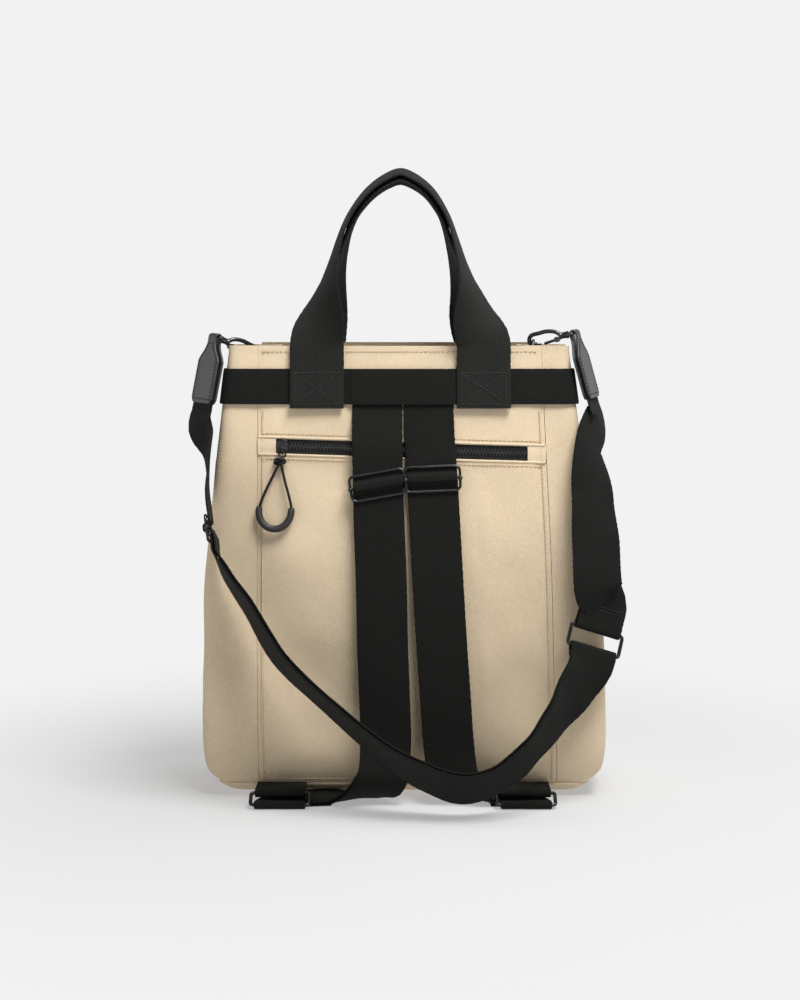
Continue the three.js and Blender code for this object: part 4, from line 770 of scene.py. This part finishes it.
# Crossbody strap and its hooks
crossbodySections = [  # across, out, up, turn, tip
    (-0.962, 0.5, 0.785, -72, 0), (-0.95, 0.86, 0.73, -82, 0), (-0.942, 1.13, 0.665, -88, 8),
    (-0.934, 1.165, 0.637, -88, 8), (-0.918, 1.233, 0.583, -88, 8), (-0.91, 1.268, 0.555, -88, 8),
    (-0.855, 1.35, 0.51, -76, 20), (-0.755, 1.42, 0.445, -66, 34), (-0.6, 1.58, 0.335, -50, 48),
    (-0.34, 1.8, 0.23, -30, 60), (-0.1, 1.95, 0.145, -16, 60), (0.115, 2.03, 0.09, -6, 50),
    (0.29, 2.06, 0.068, 0, 44), (0.47, 2.0, 0.09, 4, 50), (0.62, 1.88, 0.145, 2, 54),
    (0.735, 1.7, 0.205, 2, 48), (0.85, 1.47, 0.272, 10, 28), (0.912, 1.33, 0.313, 16, 12),
    (0.93, 1.27, 0.345, 16, 10)]
crossbodyEndSections = [(0.92, 0.56, 0.785, 50, 0), (0.93, 0.84, 0.67, 28, 0), (0.94, 1.06, 0.575, 16, 0),
                        (0.953, 1.2, 0.47, 14, 4)]
hookPlaces = {"left": (-1, 72, 21, 27, 12), "right": (1, 14, 10, 16, 16)}  # side, then ring, slope, turn, tab
hookSizes = {"reach": 34.5, "dRingRise": 14, "dRingWidth": 17, "dRingWire": 2.5, "hookWire": 3.4, "eyeWire": 2.4,
             "leather": 1.8, "tabLength": 54, "tabWidth": 42, "neckWidth": 15, "eyeHalf": 9.3, "gateOut": 15}
hookReach, dRingRise, dRingWidth, dRingWire, hookWire, eyeWire, leatherThick = list(hookSizes.values())[:7]
tabLength, tabWidth, gateOut = hookSizes["tabLength"], hookSizes["tabWidth"], hookSizes["gateOut"]
crossbodySizes = {"sliderUp": 0.61, "ringInside": 14, "hem": 18}
bandSizes = {"drop": 32, "height": 28, "out": 2.6}
bandMiddle, bandHeight, bandOut = rim - bandSizes["drop"], bandSizes["height"], bandSizes["out"]


tabShape = [  # how far down the tab, its width there
    (1, 0.76), (0.985, 0.86), (0.93, 0.985), (0.9, 1), (0.36, 1), (0.3, 0.86), (0.22, 0.6), (0.16, 0.45),
    (0.1, 0.36)]


def hookEnd(name):
    side, ringLean, hookSlope, hookTurn, tabLean = hookPlaces[name]
    low, barHeight = bandMiddle - bandHeight / 2 + 1, rim - 10

    def seat(z):  # the outer face of the folded gusset, with the band on it
        body = bodyAt(round(z, 3))
        return body["lean"] + side * (body["width"] - body["fold"] + bandOut + gap + 0.7)

    loop = (dRingWire + 1.4) / 2 + gap
    barX = seat(barHeight) + side * loop
    over = np.array([0, 1.0, 0])
    bar = np.array([barX, 0, barHeight])
    tab = [(np.array([seat(z), 0, z]), over, np.array([-side, 0, 0.0]), None, 0)
           for z in np.linspace(low, barHeight - 1, 12)]
    tab += [(bar + out * loop, over, out, None, 0) for out in
            (np.array([-side * math.cos(a), 0, math.sin(a)]) for a in np.radians(range(0, 181, 15)))]
    tab += [(np.array([seat(z) + side * 1.7, 0, z]), over, np.array([side, 0, 0.0]), None, 0)
            for z in np.linspace(barHeight - 8, low, 10)]
    sweep("d_ring_tab_" + name, tab, 10, 1.4, "webbing", ("d_ring_tab_" + name,), 8)
    lean = math.radians(ringLean)
    ringUp = np.array([side * math.sin(lean), 0, math.cos(lean)])
    half = (dRingWidth - dRingWire) / 2
    at = lambda a, b: bar + over * (a * half) + ringUp * (b * dRingRise)
    corners = [at(-1, 0), at(1, 0), at(1, 0.55), at(0.45, 1), at(-0.45, 1), at(-1, 0.55)]
    ring = tube(cornered(corners, 1.8, 7), dRingWire / 2, 14, True)
    combined("d_ring_" + name, [ring], "metal", instead=("d_ring_" + name,))

    slope, turn = math.radians(hookSlope), math.radians(hookTurn)
    outward = np.array([side * math.cos(turn), -math.sin(turn), 0])
    barAlong = np.array([side * math.sin(turn), math.cos(turn), 0])
    leaning = lambda out, up: outward * out + np.array([0, 0, up])
    u, v = leaning(-math.cos(slope), -math.sin(slope)), leaning(-math.sin(slope), math.cos(slope))
    eye = bar + ringUp * dRingRise - u * hookReach
    spot = lambda a, b, c=0: eye + u * a + v * b + barAlong * c
    bowl, bowlCentre = (dRingWire + hookWire) / 2 + 1.5 * gap + 1.4, hookReach - 1.4
    line = [spot(11, 0), spot(15, 3.6), spot(22, 5.4), spot(29, 5),
            *[spot(bowlCentre + math.cos(a) * bowl, math.sin(a) * bowl)
              for a in np.radians([60, 20, -20, -60, -100])],
            spot(hookReach - 6.2, -4.9)]
    curve = curveOf(line)
    hook = tube([curve(t) for t in np.linspace(0, 1, 60)], hookWire / 2, 16)
    barrel = tube([spot(a, 0) for a in (4.6, 5, 5.6, 6.4, 6.8, 11, 11.4, 12.2, 12.7)],
                  [2.2, 2.9, 3, 3, 2.6, 2.6, 3, 3, 2.4], 20)
    eyeHalf = hookSizes["eyeHalf"]
    eyeCorners = [spot(a * 6, 0, c * eyeHalf) for a, c in ((0, -1), (0, 1), (1, 1), (1, -1))]
    eyeLoop = tube(cornered(eyeCorners, 1.8, 6), eyeWire / 2, 14, True)
    ears = []
    for c in (2.5, -2.5):
        ears += [tube([spot(gateOut, -2.4, c - 0.7), spot(gateOut, -2.4, c + 0.7)], 2.2, 18),
                 tube([spot(10, -0.6, c), spot(gateOut, -2.4, c)], 0.65, 10)]
    combined("snap_hook_" + name, [hook, barrel, eyeLoop, *ears], "metal", instead=("snap_hook_" + name,))
    gate = [tube([spot(gateOut, -2.4, -1.5), spot(gateOut, -2.4, 1.5)], 1.9, 18),
            tube([spot(gateOut, -2.4), spot(hookReach - 9.4, -3.95), spot(hookReach - 8.6, -4)],
                 [1.15, 1.15, 0.9], 14)]
    combined("hook_gate_" + name, gate, "metal", "gate_" + name, ("hook_gate_" + name,))

    tip = math.radians(tabLean)
    toward, face = leaning(math.sin(tip), -math.cos(tip)), leaning(math.cos(tip), math.sin(tip))
    halfStack, loop = webThickness / 2 + gap + leatherThick / 2, eyeWire / 2 + gap + leatherThick / 2
    fine = [(d, float(np.interp(-d, [-r[0] for r in tabShape], [r[1] for r in tabShape]))) for d in
            np.r_[np.linspace(1, 0.9, 8), np.linspace(0.88, 0.38, 16), np.linspace(0.36, 0.1, 14)]]
    away = lambda d: loop + (halfStack - loop) * min(d / 0.34, 1)
    layer = lambda sign, rows: [(eye + toward * (d * tabLength) + face * (sign * away(d)), barAlong, face * sign,
                                 tabWidth * w, 0) for d, w in rows]
    bend = [(eye + out * loop, barAlong, out, hookSizes["neckWidth"], 0) for out in
            (face * math.cos(a) - toward * math.sin(a) for a in np.radians(range(0, 181, 12)))]
    folded = [*layer(1, fine), *bend, *layer(-1, fine[::-1])]
    sweep("leather_tab_" + name, folded, tabWidth, leatherThick, "leather", ("leather_tab_" + name,), 20, selvedge=0)
    inset = lambda d, w, s: (eye + toward * (d * tabLength) + face * (away(d) + leatherThick / 2 + 0.05)
                             + barAlong * (s * (tabWidth / 2 * w - 3)), face)
    border = [inset(d, w, 1) for d, w in fine[3:]] + [inset(d, w, -1) for d, w in fine[3:][::-1]]
    foot = [inset(0.94, 0.95 * s, 1) for s in np.linspace(1, -1, 20)]
    stitches("tab_stitches_" + name, [border, foot], "blackThread", **strapThread)
    return [(eye + toward * (share * tabLength), face) for share in (0.42, 0.8, 1.12, 1.3)]


def crossbodyStrap(leftTab, rightTab):
    placed = lambda r: (np.array([r[0] * halfWidth, -r[1] * halfDepth, r[2] * rim]), facingFrom(r[3], r[4]))
    path = Route([*leftTab, *map(placed, crossbodySections)])
    place = path.atHeight(crossbodySizes["sliderUp"] * rim)
    stations, centre = doubledStrap(path, place, 0)
    sweep("crossbody_strap", smoothed(stations), webbing, webThickness, "webbing", ("crossbody_strap",))
    ladderSlider("crossbody_slider", path.at(place))
    tangent, facing, across = path.at(path.length)[1:]
    inside, hemLength = crossbodySizes["ringInside"], crossbodySizes["hem"]
    rectangularRing("crossbody_ring", centre, across, tangent, inside)
    farBar = centre + tangent * (inside + wire)
    last = farBar + facing * barRoom
    before = [(last + tangent * (k * 11), facing) for k in (2, 1, 0)]
    endPath = Route([*rightTab, *map(placed, crossbodyEndSections), *before])
    strip = []
    for d in np.linspace(0, endPath.length, int(endPath.length / 2.2)):
        q, t, f, a = endPath.at(d)
        strip.append((q, a, f, None, 0))
    over = np.cross(-tangent, facing)
    for a in np.radians(range(12, 181, 12)):
        out = facing * math.cos(a) - tangent * math.sin(a)
        strip.append((farBar + out * barRoom, over, out, None, 0))
    for k in np.linspace(0, 1, 12)[1:]:  # the hem behind
        closed = min(k * 1.6, 1)
        behind = barRoom + (layerPitch - barRoom) * closed
        spot = farBar + facing * (barRoom - behind - barRoom * (1 - closed)) + tangent * (k * hemLength)
        strip.append((spot, over, -facing, None, 0))
    sweep("crossbody_strap_end", smoothed(strip, 1), webbing, webThickness, "webbing", ("crossbody_strap_end",))
    rows = [[(last + tangent * h + over * s + facing * 0.85, facing) for s in np.linspace(-17, 17, 16)]
            for h in (15, 17.5)]
    stitches("end_stitches", rows, "blackThread", **strapThread)


crossbodyStrap(hookEnd("left"), hookEnd("right"))
print("crossbody strap made")


# Band under the rim, lifted over the tops of the shoulder straps
strapEdge = {"left": -0.0025 * halfWidth - webbing - gap, "right": 0.0015 * halfWidth + webbing + gap}


def bandLift(x, y):
    past = max(x - strapEdge["right"], strapEdge["left"] - x, 0) / 3
    return (webThickness + gap) * max(1 - past, 0) if y < 0 else 0


def band():
    heights = np.linspace(bandMiddle - bandHeight / 2, bandMiddle + bandHeight / 2, 15)
    rings = {1.0: [], 2.6: []}
    for z in heights:
        for distance, rows in rings.items():
            edge = 0.35 if z in (heights[0], heights[-1]) and distance > 2 else 0
            rows.append([(x, y - bandLift(x, y), z) for x, y in bodyPlan(round(float(z), 3), distance - edge, 1.6)])
    shell("band", rings[2.6], rings[1.0], "webbing", ("band",), loop=True)


band()

# Handles: flat on the band at their feet, edge-on at the crown
handleSections = [  # left, right, up, out, twist, cup
    (1.04, 0.975, 0.27, 1.22, 2, 0.02), (1.03, 0.935, 0.32, 1.16, 14, 0.03), (1.0, 0.89, 0.38, 1.06, 34, 0.03),
    (0.96, 0.85, 0.46, 0.94, 58, 0.035), (0.92, 0.8, 0.54, 0.84, 74, 0.04), (0.86, 0.73, 0.63, 0.7, 82, 0.04),
    (0.78, 0.65, 0.72, 0.47, 87, 0.045), (0.65, 0.54, 0.82, 0.18, 89, 0.065), (0.44, 0.36, 0.918, 0.05, 90, 0.1),
    (0.2, 0.14, 0.98, 0.01, 90, 0.12)]


handleSizes = {"width": 43, "thickness": 2, "spread": 66, "rise": 190, "below": 3, "nest": 5.6}
crossBox = {"half": 18, "low": 3, "high": 28}


def handle(side, name):
    width, thickness, spread, rise, below, nested = handleSizes.values()
    foot, bandTop = bandMiddle - bandHeight / 2 - below, bandMiddle + bandHeight / 2
    rimDepth = bodyAt(float(rim))["depth"]

    def nest(up):  # the front handle lies inside the back one
        t = min(max((up - 0.25) / 0.35, 0), 1)
        return nested * t * t * (3 - 2 * t) if side > 0 else 0

    face = backFace if side < 0 else frontFace
    onBand = bandOut + 0.9

    def leg(end):
        sign = (-1, 1)[end]
        x = sign * spread * handleSections[0][end]
        seat = [(np.array([x, side * (face(x, min(z, bandTop)) + onBand + thickness / 2), z]), 0, 0)
                for z in (foot, bandMiddle, bandTop + 2)]
        risen = []
        for row in handleSections:
            up, out, twist, cup = row[2:]
            inward, down = nest(up) * (1 - up ** 4), nest(up) * up ** 4
            spot = [sign * (spread * row[end] - inward), side * (out * rimDepth + 2 * (1 - up)),
                    foot + up * rise - down]
            risen.append((np.array(spot), twist, cup * width))
        return seat + risen

    crown = (np.array([-2.0, 0, foot + rise - nest(1)]), 90, handleSections[-1][5] * width)
    rows = [*leg(0), crown, *leg(1)[::-1]]
    curve = curveOf([r[0] for r in rows])
    run, marks = evenly(curve)
    stations = []
    for d in np.linspace(0, run[-1], int(run[-1] / 2.4)):
        t = float(np.interp(d, run, marks))
        i = min(int(t * (len(rows) - 1)), len(rows) - 2)
        part = t * (len(rows) - 1) - i
        tangent = unit(curve(min(t + 1e-4, 1)) - curve(max(t - 1e-4, 0)))
        out = np.array([0, side, 0.0])
        out = unit(out - tangent * out.dot(tangent))
        outward = unit(np.cross(tangent, (0, 1, 0)))
        twist, cup = (rows[i][k] + (rows[i + 1][k] - rows[i][k]) * part for k in (1, 2))
        facing = out * math.cos(math.radians(twist)) + outward * math.sin(math.radians(twist))
        stations.append((curve(t), np.cross(tangent, facing), facing, None, cup))
    sweep(name, smoothed(stations), width, thickness, "handleWebbing", (name,), 20)
    lines = []  # a box with a cross at each foot
    half, low, high = crossBox.values()
    for x in (-spread * handleSections[0][0], spread * handleSections[0][1]):
        corner = [(-half, low), (half, low), (half, high), (-half, high), (-half, low)]

        def segment(a, b):
            made = []
            for k in np.linspace(0, 1, 14):
                px, pz = a[0] + (b[0] - a[0]) * k, a[1] + (b[1] - a[1]) * k
                z = foot + pz
                out = side * (face(x, round(z, 2)) + onBand + thickness + 0.1)
                made.append((np.array([x + px, out, z]), np.array([0.0, side, 0])))
            return made

        lines += [segment(a, b) for a, b in zip(corner, corner[1:])]
        lines += [segment(corner[0], corner[2]), segment(corner[3], corner[1])]
    stitches(name + "_stitches", lines, "blackThread", **{**strapThread, "radius": 0.36})


handle(-1, "handle_back")
handle(1, "handle_front")
print("band and handles made")


# Zip pull: slider, ring, knot, cord and grip, from the boxes of the CAD pieces
def boxOf(name):
    low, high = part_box(name)
    return np.array(low) / mm, np.array(high) / mm


pullSizes = {"sliderHalf": (4.7, 5.5), "sliderPoints": 28, "bridgeWire": 0.8, "ringWire": 0.7, "knotWire": 1.05,
             "cordRadius": 1.1, "gripFrom": 0.3, "gripTo": 0.71, "gripEnd": 2.2, "gripSwell": 0.6}
cordRoute = [  # from the knot: across, up, out from the panel
    (-1.2, -3.2, 3.6), (-5.2, -11.4, 4.2), (-10.4, -21.8, 4.6), (-14.2, -30.8, 4.8), (-16.2, -38.8, 4.9),
    (-14.6, -46, 5), (-9.4, -51.4, 5), (-2.2, -52.6, 5), (4.6, -49.4, 5), (8.6, -43.4, 4.9),
    (9.6, -36.6, 4.8), (7.8, -27.5, 4.7), (4.6, -16.1, 4.4), (1.6, -3.6, 3.6)]


def zipPull():
    low, high = boxOf("zip_slider")
    middle = (low + high) / 2
    x, seat = middle[0], high[1]
    halfAcross, halfUp = pullSizes["sliderHalf"]
    z = low[2] + halfUp
    plate = []
    rows = [(-1.5, 0.82), (-1.3, 0.95), (-1.0, 1), (0.8, 1), (1.1, 0.95), (1.4, 0.8)]  # out, scale
    count = pullSizes["sliderPoints"]
    squared = lambda share: abs(share) ** 0.6 * math.copysign(1, share)
    for depth, scale in rows:
        for k in range(count):
            a = 2 * math.pi * k / count
            plate.append((x + halfAcross * scale * squared(math.cos(a)), seat - 1.6 + depth,
                          z + halfUp * scale * squared(math.sin(a))))
    faces = gridFaces(len(rows), count, False, True)
    faces += [tuple(range(count)), tuple((len(rows) - 1) * count + k for k in range(count))]
    corners = [(x, seat - out, z - down) for out, down in ((2.4, 5.2), (2.4, 0.2), (5.2, 0.2), (5.2, 5.2))]
    bridge = tube(cornered(corners, 1.6, 6), pullSizes["bridgeWire"], 12, True)
    combined("zip_slider", [(plate, faces), bridge], "metal", instead=("zip_slider",))
    low, high = boxOf("zip_pull_ring")
    wireRadius = pullSizes["ringWire"]
    low, high = low + wireRadius, high - wireRadius
    ring = cornered([(low[0], high[1], high[2]), (high[0], high[1], high[2]), (high[0], low[1], low[2]),
                     (low[0], low[1], low[2])], 2, 8)
    combined("zip_pull_ring", [tube(ring, wireRadius, 12, True)], "metal", instead=("zip_pull_ring",))
    low, high = boxOf("zip_pull_knot")
    centre, half = (low + high) / 2, (high - low) / 2
    coil = []
    for k in range(150):  # a knot of three lobes
        a = 2 * math.pi * k / 150
        lobe = (1 + 0.35 * math.cos(3 * a)) / 1.15
        spot = np.array([0.85 * math.cos(2 * a) * lobe, 0.55 * math.sin(3 * a), 0.75 * math.sin(2 * a) * lobe])
        coil.append(centre + half * spot)
    knotTube = tube(coil, pullSizes["knotWire"], 10, True)
    knot = combined("zip_pull_knot", [knotTube], "cord", instead=("zip_pull_knot",))
    points = [np.array([centre[0] + a, -backFace(centre[0] + a, centre[2] + b) - out, centre[2] + b])
              for a, b, out in cordRoute]
    curve = curveOf(points)
    run, marks = evenly(curve)
    at = lambda share: curve(float(np.interp(share * run[-1], run, marks)))
    path = [centre, *[at(s) for s in np.linspace(0, 1, 90)], centre + np.array([0.4, 0, 0.2])]
    radius = pullSizes["cordRadius"]
    cord = combined("pull_cord", [tube(path, radius, 12)], "cord", instead=("zip_pull_cord",))
    length = float(sum(np.linalg.norm(b - a) for a, b in zip(path, path[1:]))) * mm
    shares = np.linspace(pullSizes["gripFrom"], pullSizes["gripTo"], 60)
    radii = [pullSizes["gripEnd"] + pullSizes["gripSwell"] * min(1, min(k, 59 - k) / 3) for k in range(60)]
    gripTube = tube([at(s) for s in shares], radii, 18)
    grip = combined("zip_pull_grip", [gripTube], "rubber", instead=("zip_pull_grip",))


zipPull()
print("zip pull made")


# Stage and light: a pale floor that glows where it is far off, and a pale sky behind
sky = {"level": 0.888, "span": (0.14, 0.24, 0.888, 0.16)}  # span: from, to, and the level at each
floor = {"radius": 60, "points": 64, "grey": 0.53, "glow": (0.22, 0.6, 0.4, 1.0)}  # glow: from, to, least, most


def skyAndFloor():
    world = bpy.data.worlds.new("studio")
    world.use_nodes = True
    tree = world.node_tree
    place = node(tree, "ShaderNodeTexCoord")
    parts = node(tree, "ShaderNodeSeparateXYZ")
    tree.links.new(place.outputs["Generated"], parts.inputs[0])
    level = node(tree, "ShaderNodeMapRange", interpolation_type="SMOOTHSTEP")
    for socket, value in zip(("From Min", "From Max", "To Min", "To Max"), sky["span"]):
        level.inputs[socket].default_value = value
    tree.links.new(parts.outputs[2], level.inputs["Value"])
    tree.links.new(level.outputs[0], tree.nodes["Background"].inputs[1])
    tree.nodes["Background"].inputs[0].default_value = (1, 1, 1, 1)
    bpy.context.scene.world = world

    made = bpy.data.materials.new("floor")
    made.use_nodes = True
    tree = made.node_tree
    tree.nodes.remove(tree.nodes["Principled BSDF"])
    place = node(tree, "ShaderNodeTexCoord")
    apart = node(tree, "ShaderNodeVectorMath", operation="LENGTH")
    tree.links.new(place.outputs["Object"], apart.inputs[0])
    glow = node(tree, "ShaderNodeMapRange", interpolation_type="SMOOTHSTEP")
    for socket, value in zip(("From Min", "From Max", "To Min", "To Max"), floor["glow"]):
        glow.inputs[socket].default_value = value
    tree.links.new(apart.outputs["Value"], glow.inputs["Value"])
    light = node(tree, "ShaderNodeEmission", Strength=sky["level"])
    matte = node(tree, "ShaderNodeBsdfDiffuse", Color=(floor["grey"], floor["grey"], floor["grey"], 1))
    mix = node(tree, "ShaderNodeMixShader")
    tree.links.new(glow.outputs[0], mix.inputs[0])
    tree.links.new(matte.outputs[0], mix.inputs[1])
    tree.links.new(light.outputs[0], mix.inputs[2])
    tree.links.new(mix.outputs[0], tree.nodes["Material Output"].inputs[0])
    mesh = bpy.data.meshes.new("floor")
    turns = np.linspace(0, 2 * math.pi, floor["points"] + 1)[:-1]
    edge = [(floor["radius"] * math.cos(a), floor["radius"] * math.sin(a), 0) for a in turns]
    mesh.from_pydata(edge, [], [tuple(range(floor["points"]))])
    mesh.materials.append(made)
    ground = bpy.data.objects.new("floor", mesh)
    bpy.context.scene.collection.objects.link(ground)


skyAndFloor()
bpy.context.scene.view_settings.view_transform = "Standard"
lamps = {  # place, size, power
    "key": ((0.55, -0.78, 2.0), 0.9, 51), "fill": ((-1.8, -1.6, 1.0), 1.6, 6), "top": ((0.3, 0.2, 2.0), 1.4, 18)}
for name, (place, size, power) in lamps.items():
    lamp = bpy.data.lights.new(name, "AREA")
    lamp.shape, lamp.size, lamp.energy = "SQUARE", size, power
    made = bpy.data.objects.new(name, lamp)
    made.location = place
    made.rotation_euler = (Vector((0, 0, 0.2)) - Vector(place)).to_track_quat("-Z", "Y").to_euler()
    bpy.context.scene.collection.objects.link(made)
print("stage and light made")
